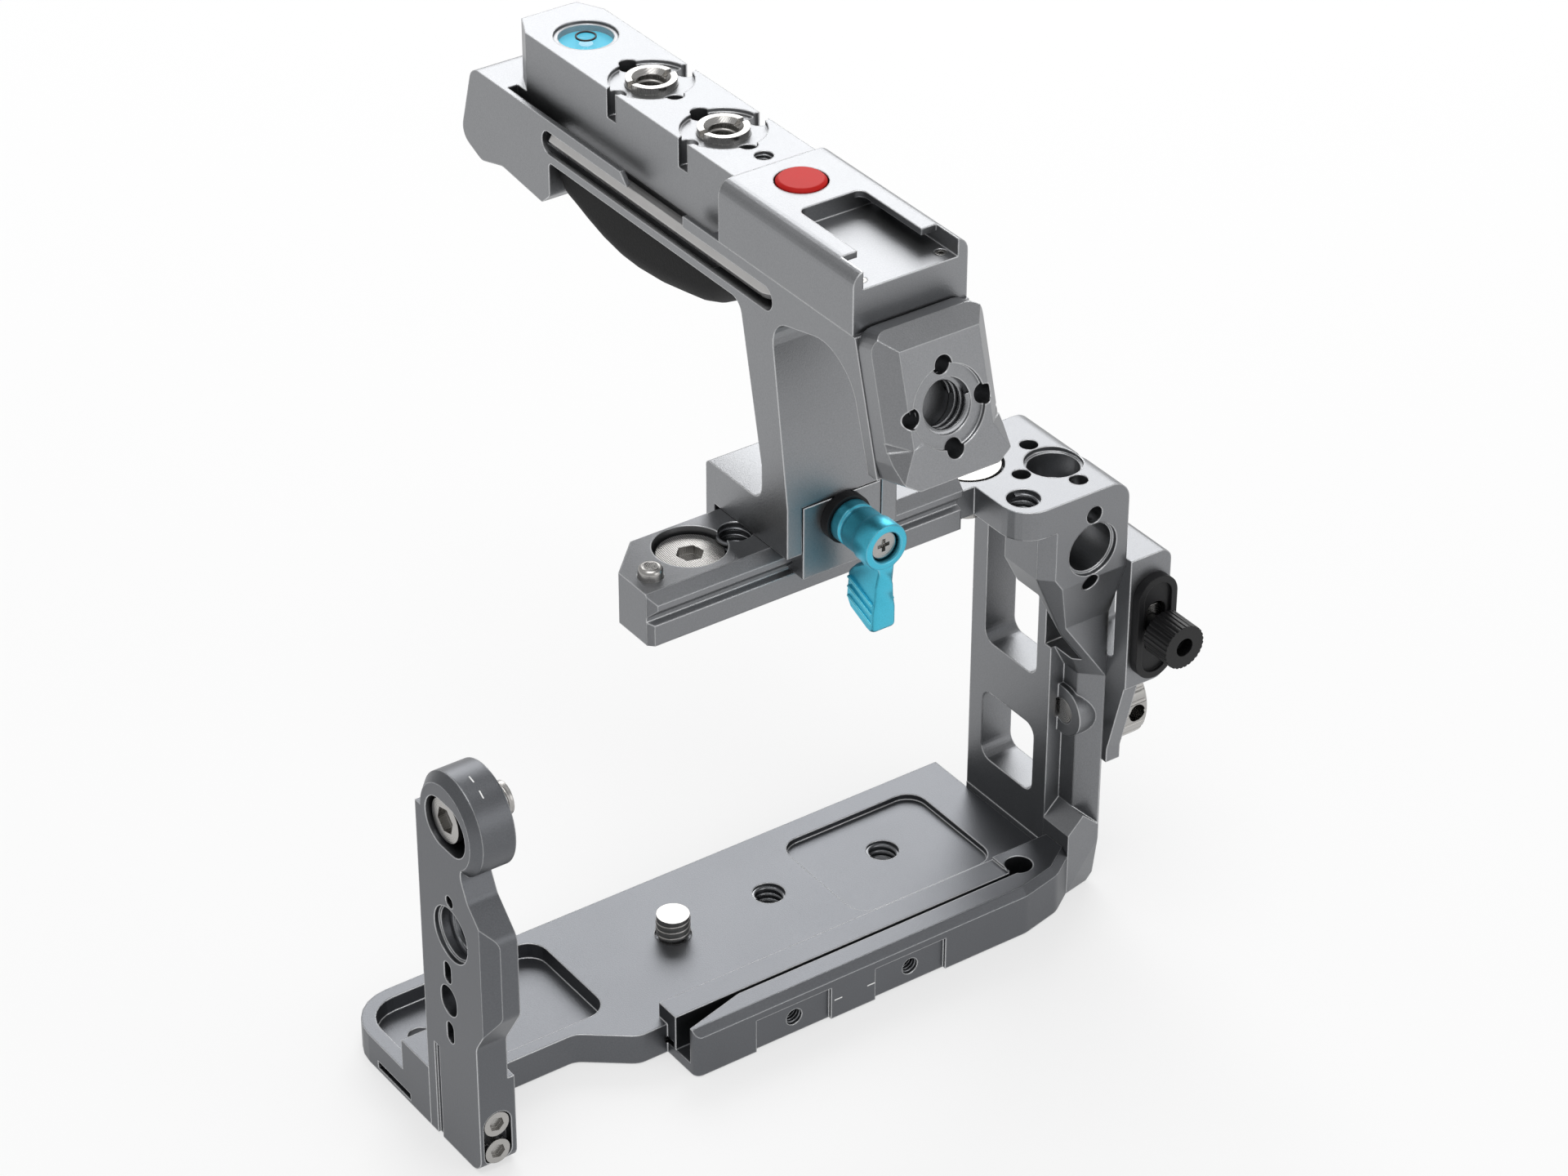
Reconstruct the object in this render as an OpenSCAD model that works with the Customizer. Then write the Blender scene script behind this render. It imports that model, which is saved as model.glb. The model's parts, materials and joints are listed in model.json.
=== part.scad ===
// Camera cage with top rail, top handle, quick clamp and cable clamp.
// Lengths are in millimetres. The lens side faces minus y, up is plus z.

/* [Frame] */
// distance of the lens axis and handle middle from the rail's left end
axis_x = 36.3; // [18.1:0.1:54.4]
// distance of the tripod thread from the rail's front
axis_y = 30; // [15:0.1:45]
// overrun of every cut past the face it opens
over = 0.5; // [0.25:0.05:0.75]
// radial clearance of a turning or sliding fit
running_gap = 0.05; // [0.02:0.01:0.08]
// clearance between a moving piece and what it passes
free_gap = 0.3; // [0.15:0.05:0.45]
// clearance between pieces bolted face to face
seat_gap = 0.02; // [0.01:0.01:0.03]
/* [Base plate] */
// back edge of the base
base_back = 45.7; // [22.8:0.1:68.6]
// height of the front rail
rail_top = 9.8; // [4.9:0.1:14.7]
// bevel along the top front of the rail
rail_bevel = 1.4; // [0.7:0.1:2.1]
// back of the front rail
rail_back = 5.2; // [2.6:0.1:7.8]
// where the rail's inner edge starts to taper to its left end
rail_taper_x = 12.4; // [6.2:0.1:18.6]
// depth of the rail at its left tip
rail_taper_y = 1.8; // [0.9:0.1:2.7]
// where the rail right end starts to sweep back, in
rail_bend_in = 13.3; // [6.6:0.1:20]
// second corner of the swept end, in
rail_sweep_in = 4.9; // [2.4:0.1:7.4]
// depth of the second corner
rail_sweep_y = 1.9; // [0.9:0.1:2.8]
// depth of the swept end at the side frame
rail_end_y = 5.2; // [2.6:0.1:7.8]
// height of the groove's floor behind the rail
groove_floor = 2.1; // [1:0.1:3.2]
// right end of the groove, in
groove_in = 9.9; // [5:0.1:14.8]
// radius of the pocket that ends the groove
groove_pocket_r = 2.6; // [1.3:0.1:3.9]
// front of the camera lip behind the groove
lip_front = 6.5; // [3.2:0.1:9.8]
// back of the camera lip
lip_back = 11.6; // [5.8:0.1:17.4]
// height of the camera lip
lip_top = 9.3; // [4.6:0.1:14]
// height of the camera seat
seat_z = 6.2; // [3.1:0.1:9.3]
// left end of the thick part of the base
seat_left = 0; // [-20:0.1:20]
// middle of the slot in the left end face
tool_slot_y = 8.4; // [4.2:0.1:12.6]
// width of the slot in the left end face
tool_slot_w = 2.8; // [1.4:0.1:4.2]
// height of the slot in the left end face
tool_slot_h = 1.4; // [0.7:0.1:2.1]
// height of the middle of that slot
tool_slot_z = 2.7; // [1.4:0.1:4.1]
// depth of that slot
tool_slot_depth = 20; // [10:0.1:30]
// depth of the two sunk fields of the rail's front
pad_drop = 0.7; // [0.35:0.05:1.05]
// height of the top of the sunk fields
field_top = 6.9; // [3.4:0.1:10.4]
// left end of the first sunk field
field_a_left = 12.8; // [6.4:0.1:19.2]
// right end of the first sunk field
field_a_right = 28.9; // [14.4:0.1:43.3]
// left end of the second sunk field
field_b_left = 38.6; // [19.3:0.1:57.9]
// right end of the second sunk field
field_b_right = 54.2; // [27.1:0.1:81.3]
// middle of the pair of small threads in the rail
m4_x = 34.05; // [17:0.1:51.1]
// distance between the two small threads
m4_pitch = 25.4; // [12.7:0.1:38.1]
// height of the small threads
m4_z = 3.5; // [1.8:0.1:5.2]
// radius of the small threads
m4_r = 1.65; // [0.8:0.1:2.5]
// depth of the small threads
m4_depth = 4.4; // [2.2:0.1:6.6]
// radius of the tripod thread wall
tripod_r = 3.05; // [1.5:0.1:4.6]
// place of the second tripod thread along the base
thread_b_x = 62; // [49.6:0.1:74.4]
// radius of the well for the camera screw's head
screw_well_r = 7.2; // [3.6:0.1:10.8]
// depth of the well for the camera screw's head
screw_well_depth = 3.2; // [1.6:0.1:4.8]
// distance of the camera screw from the rail's front
screw_place_y = 21; // [10.5:0.1:31.5]
// depth of the weight pocket in the seat
seat_pocket = 1.2; // [0.6:0.1:1.8]
// left side of the weight pocket
seat_pocket_left = 46; // [23:0.1:69]
// right side of the weight pocket
seat_pocket_right = 77; // [61.6:0.1:92.4]
// front of the weight pocket
seat_pocket_front = 15; // [7.5:0.1:22.5]
// back of the weight pocket
seat_pocket_back = 41; // [20.5:0.1:61.5]
// corner radius of the weight pocket
seat_pocket_r = 4; // [2:0.1:6]
/* [Grip plate] */
// left side of the plate under the grip
ext_left = -44.5; // [-66.8:0.1:-22.2]
// front of the plate near the thick part
ext_inner_front = 9; // [4.5:0.1:13.5]
// rear left corner radius of the plate
ext_corner_r = 9; // [4.5:0.1:13.5]
// width of the raised rim
ext_rim = 2.6; // [1.3:0.1:3.9]
// height of the sunk floor inside the rim
ext_floor = 3; // [1.5:0.1:4.5]
// right side of the sunk floor
ext_floor_right = -6; // [-9:0.1:-3]
// slant of the sunk floor's front right corner
ext_slant = 4; // [2:0.1:6]
// middle of the strap slot
strap_slot_y = 24.2; // [12.1:0.1:36.3]
// length of the strap slot
strap_slot_len = 11; // [5.5:0.1:16.5]
// height of the strap slot
strap_slot_h = 1.5; // [0.8:0.1:2.2]
// height of the middle of the strap slot
strap_slot_z = 1.4; // [0.7:0.1:2.1]
// radius of the hole in the sunk floor
ext_hole_r = 2.2; // [1.1:0.1:3.3]
// place of that hole across
ext_hole_x = -35.3; // [-52.9:0.1:-17.6]
// place of that hole in depth
ext_hole_y = 34.6; // [17.3:0.1:51.9]
// height of the block the arm's foot bolts to
foot_block_top = 12.6; // [6.3:0.1:18.9]
// back of that block
foot_block_back = 25; // [12.5:0.1:37.5]
/* [Grip arm] */
// outer face of the arm
arm_out = -44.5; // [-66.8:0.1:-22.2]
// thickness of the arm
arm_depth = 5.9; // [3:0.1:8.9]
// thickness of the arm's foot
arm_foot_depth = 7.2; // [3.6:0.1:10.8]
// height of the arm's thick foot
arm_foot_top = 18.6; // [9.3:0.1:27.9]
// back edge of the arm
arm_back = 15.9; // [8:0.1:23.8]
// front edge of the arm's foot
arm_front = -0.5; // [-0.75:0.05:-0.25]
// height where the foot's front edge ends
arm_foot_shelf = 24; // [12:0.1:36]
// height of the lower corner of the bulge
arm_bulge_low = 27.4; // [13.7:0.1:41.1]
// height where the bulge is full
arm_bulge_start = 35.5; // [17.8:0.1:53.2]
// height where the bulge ends
arm_bulge_end = 51.5; // [25.8:0.1:77.2]
// front edge of the bulge
arm_bulge_y = -5.4; // [-8.1:0.1:-2.7]
// bevel along the bulge's outer edge
arm_bulge_bevel = 2.5; // [1.2:0.1:3.8]
// front edge at the waist
arm_waist_y = 0.4; // [0.2:0.05:0.6]
// height of the waist
arm_waist_z = 57.2; // [28.6:0.1:85.8]
// front edge at the neck
arm_neck_y = 2.4; // [1.2:0.1:3.6]
// height of the neck
arm_neck_z = 61.4; // [49.1:0.1:73.7]
// middle of the round head in depth
boss_y = 6.5; // [3.2:0.1:9.8]
// height of the middle of the round head
boss_z = 69.3; // [55.4:0.1:83.2]
// radius of the round head
boss_r = 9.3; // [4.6:0.1:14]
// bevel around the round head
boss_bevel = 1.6; // [0.8:0.1:2.4]
// length of the round head
boss_depth = 7.9; // [4:0.1:11.9]
// place of the side screw in its slot
arm_screw_y = 8; // [4:0.1:12]
// radius of the side screw's head
arm_screw_head_r = 4.1; // [2:0.1:6.1]
// height of the side screw's head
arm_screw_head_h = 3.2; // [1.6:0.1:4.8]
// radius of the slot's counterbore
arm_slot_r = 4.7; // [2.4:0.1:7]
// front end of the slot's middle line
arm_slot_low_y = 4.9; // [2.4:0.1:7.4]
// depth of the slot's counterbore
arm_slot_deep = 4.2; // [2.1:0.1:6.3]
// radius of the side screw's shank
arm_shank_r = 3; // [1.5:0.1:4.5]
// radius of the slot the shank passes
arm_shank_slot_r = 3.25; // [1.6:0.1:4.9]
// how far the side screw stands out of the round head
arm_shank_out = 4.6; // [2.3:0.1:6.9]
// place of the holes in the arm
arm_bore_y = 6.2; // [3.1:0.1:9.3]
// height of the large hole in the arm
arm_bore_z = 47.3; // [23.6:0.1:70.9]
// height of the small locating hole
arm_pin_z = 53.6; // [26.8:0.1:80.4]
// height of the oval hole
arm_oval_z = 32.4; // [16.2:0.1:48.6]
// height of the upper short slot
arm_slot_a_z = 38.4; // [19.2:0.1:57.6]
// height of the lower short slot
arm_slot_b_z = 25.6; // [12.8:0.1:38.4]
// place of the lower row of holes
arm_small_y = 7.8; // [3.9:0.1:11.7]
// length of a short slot
arm_short_len = 4.4; // [2.2:0.1:6.6]
// half width of a short slot
arm_short_r = 1.15; // [0.55:0.05:1.7]
// half width of the oval hole
arm_oval_r = 2.55; // [1.3:0.1:3.8]
// length of the oval hole
arm_oval_len = 6; // [3:0.1:9]
// place of the shallow groove
arm_groove_y = 12.7; // [6.3:0.1:19]
// width of the shallow groove
arm_groove_w = 1.6; // [0.8:0.1:2.4]
// top of the shallow groove
arm_groove_top = 20; // [10:0.1:30]
// depth of the shallow groove
arm_groove_deep = 0.5; // [0.25:0.05:0.75]
// place of the two foot screws across
foot_screw_x = -41; // [-61.5:0.1:-20.5]
// height of the lower foot screw
foot_screw_z = 3.6; // [1.8:0.1:5.4]
// distance between the foot screws
foot_screw_pitch = 5.9; // [3:0.1:8.9]
// radius of a foot screw's head
foot_head_r = 2.45; // [1.2:0.1:3.7]
// height of a foot screw's head
foot_head_h = 1.7; // [0.8:0.1:2.5]
// radius of a foot screw's shank
foot_shank_r = 1.45; // [0.7:0.1:2.2]
// length of a foot screw
foot_screw_len = 22.5; // [11.2:0.1:33.8]
// depth of the recess for the foot screws
foot_recess = 1.9; // [0.9:0.1:2.8]
// half width of that recess
foot_recess_r = 2.75; // [1.4:0.1:4.1]
/* [Threads and locating holes] */
// radius of a three-eighths thread wall
big_r = 4.76; // [2.4:0.1:7.1]
// lead-in step around a three-eighths thread
big_lead = 0.5; // [0.25:0.05:0.75]
// depth of that lead-in step
lead_depth = 1; // [0.5:0.05:1.5]
// how much a smooth shank is thinner than its thread
thread_relief = 0.2; // [0.1:0.05:0.3]
// radius of a quarter-inch thread wall
quarter_r = 3.05; // [1.5:0.1:4.6]
// radius of the ring of locating holes
pin_ring = 7.1; // [3.5:0.1:10.6]
// radius of a locating hole
pin_hole_r = 1.7; // [0.8:0.1:2.5]
// depth of a locating hole
pin_hole_depth = 5.4; // [2.7:0.1:8.1]
/* [Side frame] */
// outer face of the side frame
wall_out = 92.9; // [74.3:0.1:111.5]
// thickness of the wall beside the camera
side_thick = 6.9; // [3.4:0.1:10.4]
// front of the thick wall
wall_front = 12.7; // [6.3:0.1:19]
// back of the side frame
wall_back = 36; // [18:0.1:54]
// thickness of the front flange
flange_w = 3.6; // [1.8:0.1:5.4]
// front edge of the thin front flange
flange_front = 5.2; // [2.6:0.1:7.8]
// height where the outer front corner is cut off
flange_low_z = 9.8; // [4.9:0.1:14.7]
// height where the flange widens to the foot
foot_rise_z = 16.4; // [8.2:0.1:24.6]
// bevel at the outer bottom edge
wall_bottom_bevel = 1.4; // [0.7:0.1:2.1]
// thickness of the foot of the side frame
side_foot = 7; // [3.5:0.1:10.5]
// height of the foot of the side frame
wall_foot_top = 7.4; // [3.7:0.1:11.1]
// lower edge of the port window
window_low = 16; // [8:0.1:24]
// upper edge of the port window below the top
window_d = 18; // [9:0.1:27]
// front edge of the port window
window_front = 16.6; // [8.3:0.1:24.9]
// back edge of the port window
window_back = 32; // [16:0.1:48]
// height of the bar across the port window
window_bar = 31; // [15.5:0.1:46.5]
// height of that bar
window_bar_h = 11; // [5.5:0.1:16.5]
// corner radius of the port window
window_r = 2.5; // [1.2:0.1:3.8]
// height of the top of the side frame
top_z = 90; // [72:0.1:108]
// thickness of the top arm
top_thick = 5.7; // [2.8:0.1:8.6]
// width of the corner block
top_w = 23.9; // [11.9:0.1:35.8]
// front of the corner block
top_front = 1.2; // [0.6:0.1:1.8]
// front left corner radius of the corner block
top_corner_r = 5.5; // [2.8:0.1:8.2]
// back of the top arm
top_back = 29.5; // [14.8:0.1:44.2]
// depth where the top arm widens to the left
top_step_y = 14.5; // [7.2:0.1:21.8]
// width of the top arm
top_arm_w = 28.3; // [14.2:0.1:42.4]
// rounding of the outer top edge
top_shoulder_r = 4; // [2:0.1:6]
// width of the front cheek
cheek_w = 18.2; // [9.1:0.1:27.3]
// depth where the cheek starts to narrow
cheek_a_d = 15.6; // [7.8:0.1:23.4]
// bevel along the cheek inner edge
cheek_bevel = 2.4; // [1.2:0.1:3.6]
// height where the slant ends
cheek_c_z = 46; // [23:0.1:69]
// depth where the front starts to step back
step_high_d = 18; // [9:0.1:27]
// depth where the front is fully set back
step_low_d = 30; // [15:0.1:45]
// wall in front of the cable channel
plug_skin = 1.5; // [0.8:0.1:2.2]
// place of the large corner holes, in from the side
corner_hole_in = 7.7; // [3.8:0.1:11.6]
// place of the top large hole in depth
corner_hole_y = 13.1; // [6.6:0.1:19.6]
// depth of the large hole in the cheek
front_hole_d = 11.9; // [6:0.1:17.8]
// place of the quarter-inch thread, in from the side
corner_quarter_in = 19.3; // [9.6:0.1:29]
// place of the quarter-inch thread in depth
corner_quarter_y = 6.6; // [3.3:0.1:9.9]
// place of the front screw that joins side frame and base
frame_screw_y = 20; // [10:0.1:30]
// distance between the two joining screws
frame_screw_pitch = 11; // [5.5:0.1:16.5]
// height of the joining screws
frame_screw_z = 3.4; // [1.7:0.1:5.1]
// radius of a joining screw
frame_screw_r = 1.45; // [0.7:0.1:2.2]
// radius of a joining screw's head
frame_head_r = 2.8; // [1.4:0.1:4.2]
// height of a joining screw's head
frame_head_h = 2; // [1:0.1:3]
// length of a joining screw
frame_screw_len = 13; // [6.5:0.1:19.5]
/* [Top rail] */
// left end of the top rail
dove_left = -0.3; // [-0.45:0.05:-0.15]
// gap between top rail and top arm
dove_gap = 0.3; // [0.15:0.05:0.45]
// middle line of the top rail in depth
dove_mid = 20.9; // [10.4:0.1:31.3]
// height of the top rail
dove_h = 10; // [5:0.1:15]
// how far the top rail stands above the side frame
dove_rise = 4.2; // [2.1:0.1:6.3]
// half width of the rail's top
dove_top_half = 7.5; // [3.8:0.1:11.2]
// half width of the rail at its widest
dove_wide_half = 9.2; // [4.6:0.1:13.8]
// half width of the rail's neck
dove_neck_half = 7.7; // [3.8:0.1:11.6]
// half width of the rail's foot
dove_foot_half = 8.8; // [4.4:0.1:13.2]
// depth of the upper bevel
dove_bevel_d = 1.9; // [0.9:0.1:2.8]
// depth where the undercut starts
dove_edge_d = 3; // [1.5:0.1:4.5]
// depth where the neck starts
dove_neck_d = 4.6; // [2.3:0.1:6.9]
// height of the rail foot
dove_foot_h = 4; // [2:0.1:6]
// height of the slope between foot and neck
dove_neck_rise = 0.6; // [0.3:0.05:0.9]
// slanted cut of the rear left corner
dove_corner = 8.6; // [4.3:0.1:12.9]
// slanted cut of the front left corner
dove_front_corner = 1.4; // [0.7:0.1:2.1]
// end of the tongue under the top arm, in from the side
tongue_in = 12.8; // [6.4:0.1:19.2]
// half width of that tongue
tongue_half = 6; // [3:0.1:9]
// height of the tongue
tongue_h = 2; // [1:0.1:3]
// place of the left rail screw
rail_screw_x = 14.1; // [7:0.1:21.1]
// place of both rail screws in depth
rail_screw_y = 21.5; // [10.8:0.1:32.2]
// place of the right rail screw, in from the end of the top arm
rail_screw_in = 8.2; // [4.1:0.1:12.3]
// radius of a rail screw's flat head
rail_head_r = 5.9; // [3:0.1:8.9]
// height of a rail screw's head
rail_head_h = 2; // [1:0.1:3]
// radius of a rail screw's shank
rail_shank_r = 3; // [1.5:0.1:4.5]
// how far a rail screw stands out below
rail_shank_out = 4; // [2:0.1:6]
// radius of the well around the head
rail_well_r = 6.5; // [3.2:0.1:9.8]
// how deep the head lies below the top
rail_well_drop = 1.4; // [0.7:0.1:2.1]
// radius of the hex socket's corners
rail_hex = 2.5; // [1.2:0.1:3.8]
// depth of the hex socket
rail_hex_deep = 1.6; // [0.8:0.1:2.4]
// place of the quarter-inch thread in the rail
dove_hole_x = 23; // [11.5:0.1:34.5]
// place of that thread in depth
dove_hole_y = 20.9; // [10.4:0.1:31.3]
// place of the stop pin across
stop_x = 3.7; // [1.8:0.1:5.6]
// place of the stop pin in depth
stop_y = 17.8; // [8.9:0.1:26.7]
// radius of the stop pin
stop_r = 2.15; // [1.1:0.1:3.2]
// how far the stop pin stands up
stop_up = 1.9; // [0.9:0.1:2.8]
// length of the stop pin below the top
stop_len = 5; // [2.5:0.1:7.5]
// radius of the stop pin's collar
stop_collar_r = 2.8; // [1.4:0.1:4.2]
// height of the stop pin's collar
stop_collar_h = 1; // [0.5:0.05:1.5]
// depth of the stop pin's well
stop_well_deep = 8.6; // [4.3:0.1:12.9]
/* [Handle body] */
// left side of the handle
grip_left = 25; // [12.5:0.1:37.5]
// right side of the handle
grip_right = 47.6; // [23.8:0.1:71.4]
// front of the handle's head
head_front = -9.3; // [-14:0.1:-4.6]
// back of the handle's head
head_back = 28.4; // [14.2:0.1:42.6]
// height of the handle head above its foot
handle_rise = 51.7; // [25.8:0.1:77.6]
// height of the head
head_h = 11.3; // [5.6:0.1:17]
// rounding of the head's long top edges
head_round = 2.6; // [1.3:0.1:3.9]
// height of the deck
deck_h = 11.2; // [5.6:0.1:16.8]
// half width of the deck
deck_half = 8.2; // [4.1:0.1:12.3]
// middle line of the deck
deck_mid = 36.3; // [18.1:0.1:54.4]
// back end of the deck, in from the rearmost point
deck_back_in = 12.5; // [6.2:0.1:18.8]
// length of the deck taper
deck_taper = 5.2; // [2.6:0.1:7.8]
// half width of the deck's back end
deck_tip_half = 5.7; // [2.8:0.1:8.6]
// thickness of the trough floor
bar_floor = 0.7; // [0.35:0.05:1.05]
// thickness of the handle's outer wall
wall_thick = 1; // [0.5:0.05:1.5]
// top rear corner, in from the rearmost point
tail_top_in = 4.2; // [2.1:0.1:6.3]
// rearmost point of the handle
tail_y = 109.7; // [87.8:0.1:131.6]
// its depth below the head
tail_mid_d = 14.8; // [7.4:0.1:22.2]
// lowest rear corner, in from the rearmost point
tail_low_in = 6.7; // [3.4:0.1:10]
// its depth
tail_low_d = 17.5; // [8.8:0.1:26.2]
// inner corner of the rear hook, in
tail_hook_in = 13.7; // [6.8:0.1:20.5]
// its depth
tail_hook_d = 15.6; // [7.8:0.1:23.4]
// slant of the tail front
tail_front_w = 2.4; // [1.2:0.1:3.6]
// its depth
tail_front_d = 17; // [8.5:0.1:25.5]
// length of the tail
tail_len = 29.1; // [14.6:0.1:43.7]
// depth of the handle bar below the head
bar_h = 8.1; // [4:0.1:12.1]
// rear of the post at its top
post_rear_top_y = 22.3; // [11.2:0.1:33.4]
// rear of the post at its foot
post_rear_low_y = 16; // [8:0.1:24]
// height of the slim end of the post above the foot
post_low_up = 14.7; // [7.3:0.1:22]
// front of the foot
post_front_y = 8.5; // [4.2:0.1:12.8]
// height where the post front starts to lean
post_lean_up = 9.7; // [4.8:0.1:14.5]
// front of the post at its top
post_front_top_y = 13.4; // [6.7:0.1:20.1]
// depth of the arch at the post
post_top_d = 7.8; // [3.9:0.1:11.7]
// front of the arch's roof
arch_front_y = -2.6; // [-3.9:0.1:-1.3]
// depth of the arch roof
arch_front_d = 4; // [2:0.1:6]
// back of the front wall at its top
arch_side_y = -9.4; // [-14.1:0.1:-4.7]
// its depth
arch_side_d = 8.5; // [4.2:0.1:12.8]
// back of the front wall at its lower end
front_low_back_y = -14; // [-21:0.1:-7]
// depth of the front wall
front_low_d = 23.3; // [11.6:0.1:35]
// front of the front wall at its lower end
front_low_y = -16.4; // [-24.6:0.1:-8.2]
// front of the front wall at its top
front_top_y = -9.9; // [-14.8:0.1:-5]
// back of the handle's foot
foot_back = 32.6; // [16.3:0.1:48.9]
// height of the handle foot
foot_h = 7.7; // [3.8:0.1:11.6]
// clearance between rail and handle foot
rail_gap = 0.1; // [0.05:0.01:0.15]
// how far the jaws reach down the rail
jaw_hook = 5.1; // [2.5:0.1:7.6]
// fillets of the handle and the arm
foot_fillet = 3; // [1.5:0.1:4.5]
// rounding of the arch at the front wall
arch_r = 9; // [4.5:0.1:13.5]
// rounding of the arch at the post
arch_post_r = 5; // [2.5:0.1:7.5]
// small corner radius of the handle
edge_r = 1; // [0.5:0.05:1.5]
// left side of the front jaw
jaw_left = 28.3; // [14.2:0.1:42.4]
// right side of the front jaw
jaw_right = 44.2; // [22.1:0.1:66.3]
// height of the front jaw above the rail
jaw_h = 8.9; // [4.4:0.1:13.4]
// depth of the front jaw
jaw_depth = 5.6; // [2.8:0.1:8.4]
// front end of the long window
slot_front = 13; // [6.5:0.1:19.5]
// how far the long window runs into the tail
slot_over = 2; // [1:0.1:3]
// height of the long window above the belly
slot_up = 1.5; // [0.8:0.1:2.2]
// height of the long window
slot_h = 4.5; // [2.2:0.1:6.8]
// front end of the finger notch
notch_front_y = 39; // [19.5:0.1:58.5]
// back end of the finger notch
notch_back_y = 58; // [29:0.1:87]
// depth of the finger notch
notch_depth = 2.2; // [1.1:0.1:3.3]
// place of the rear deck bush
bush_a_y = 65; // [52:0.1:78]
// place of the front deck bush
bush_b_y = 43.3; // [21.6:0.1:64.9]
// radius of the shallow round recess of the deck
bush_ring_r = 7.45; // [3.7:0.1:11.2]
// radius of the shallow round recess of the front mount
plate_ring_r = 7.1; // [3.5:0.1:10.6]
// radius of the bevelled mouth of a bush
bush_lead_r = 3.4; // [1.7:0.1:5.1]
// depth of the shallow round recesses
bush_ring_deep = 0.8; // [0.4:0.05:1.2]
// place of the small thread in the deck
deck_m4_y = 31.6; // [15.8:0.1:47.4]
/* [Front mount of the handle] */
// depth of the middle of the tilted front face
plate_y = -20.3; // [-30.4:0.1:-10.2]
// depth of its middle below the head
plate_drop = 11.4; // [5.7:0.1:17.1]
// tilt of the front face in degrees
plate_tilt = 15.7; // [0:0.1:45]
// half width of the front face at its waist
plate_half = 7.9; // [4:0.1:11.9]
// upper end of the front face along the slope
plate_top_s = 11.6; // [5.8:0.1:17.4]
// lower end of the front face along the slope
plate_low_s = -12; // [-18:0.1:-6]
// half width of the flared lower end
plate_flare_half = 10.6; // [5.3:0.1:15.9]
// place of the flare's corner along the slope
plate_flare_s = -10.2; // [-15.3:0.1:-5.1]
// place where the flare starts
plate_waist_s = -5; // [-7.5:0.1:-2.5]
// thickness of the front mount
plate_thick = 6.88; // [3.4:0.1:10.3]
// width of the slanted flanks
plate_side = 3.2; // [1.6:0.1:4.8]
/* [Handle head] */
// place of the round button
button_y = 20.9; // [10.4:0.1:31.3]
// radius of the round button
button_r = 4.3; // [2.1:0.1:6.4]
// gap around the button
button_ring = 0.3; // [0.15:0.05:0.45]
// how far the button stands up
button_proud = 0.5; // [0.25:0.05:0.75]
// travel of the button
button_travel = 0.8; // [0.4:0.05:1.2]
// radius of the button's collar
button_collar_r = 5.2; // [2.6:0.1:7.8]
// height of the button's collar
button_collar_h = 1.2; // [0.6:0.1:1.8]
// back end of the cold shoe's opening
shoe_back = 13; // [6.5:0.1:19.5]
// half width of the opening between the lips
shoe_half = 6.35; // [3.2:0.1:9.5]
// half width of the slot under the lips
shoe_slot_half = 9.35; // [4.7:0.1:14]
// height of the slot under the lips
shoe_slot_h = 2.1; // [1:0.1:3.2]
// depth of the cold shoe
shoe_deep = 3.3; // [1.6:0.1:4.9]
// front end of the lips
shoe_lip_front = -3.4; // [-5.1:0.1:-1.7]
// corner radius of the opening
shoe_corner_r = 1.6; // [0.8:0.1:2.4]
// radius of the small screws in the shoe's floor
shoe_screw_r = 1; // [0.5:0.05:1.5]
// place of the small screws in depth
shoe_screw_y = -6.6; // [-9.9:0.1:-3.3]
// half distance between the small screws
shoe_screw_half = 7.9; // [4:0.1:11.9]
// length of the small screws
shoe_screw_len = 9; // [4.5:0.1:13.5]
// front of the hollow for the switch board
cavity_front = 15.5; // [7.8:0.1:23.2]
// back of the hollow for the switch board
cavity_back = 26.8; // [13.4:0.1:40.2]
// half width of the hollow
cavity_half = 9; // [4.5:0.1:13.5]
// roof above the hollow
head_roof = 3.7; // [1.8:0.1:5.6]
// thickness of the switch board
board_h = 1.2; // [0.6:0.1:1.8]
// width of the switch
switch_w = 5.2; // [2.6:0.1:7.8]
// height of the switch
switch_h = 1.9; // [0.9:0.1:2.8]
// radius of the post under the button
button_post_r = 1.5; // [0.8:0.1:2.2]
// radius of the spring under the button
button_spring_r = 4.6; // [2.3:0.1:6.9]
// radius of the spring wires
wire_r = 0.25; // [0.1:0.05:0.4]
/* [Level] */
// place of the level, in from the deck end
level_in = 11.8; // [5.9:0.1:17.7]
// radius of the level's cup
level_r = 5.7; // [2.8:0.1:8.6]
// wall of the level's cup
level_wall = 0.8; // [0.4:0.05:1.2]
// depth of the level's cup
level_deep = 6; // [3:0.1:9]
// how deep the level lies below the deck
level_drop = 0.4; // [0.2:0.05:0.6]
// floor of the level's cup
level_floor = 1; // [0.5:0.05:1.5]
// thickness of the level's window
level_glass_h = 1.2; // [0.6:0.1:1.8]
// radius of the marking ring
level_ring_r = 1.6; // [0.8:0.1:2.4]
// width of the marking ring
level_ring_w = 0.3; // [0.15:0.05:0.45]
// height of the marking ring
level_ring_h = 0.25; // [0.1:0.05:0.4]
/* [Bushes] */
// radius of a bush
bush_r = 4.5; // [2.2:0.1:6.8]
// how far a bush stands up
bush_up = 0.5; // [0.25:0.05:0.75]
// length of a bush
bush_len = 8; // [4:0.1:12]
// radius of a bush's thread wall
bush_bore = 2.55; // [1.3:0.1:3.8]
// width of a bush's driver slot
bush_slot_w = 1.2; // [0.6:0.1:1.8]
// depth of a bush's driver slot
bush_slot_deep = 1; // [0.5:0.05:1.5]
/* [Hex key and magnet] */
// half of the key's width across its flats
key_half = 1.35; // [0.7:0.1:2]
// room behind the key
key_end = 1.4; // [0.7:0.1:2.1]
// front end of the key
key_front = 13.9; // [7:0.1:20.8]
// middle line of the key across
key_x = 27.1; // [13.6:0.1:40.7]
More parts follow.
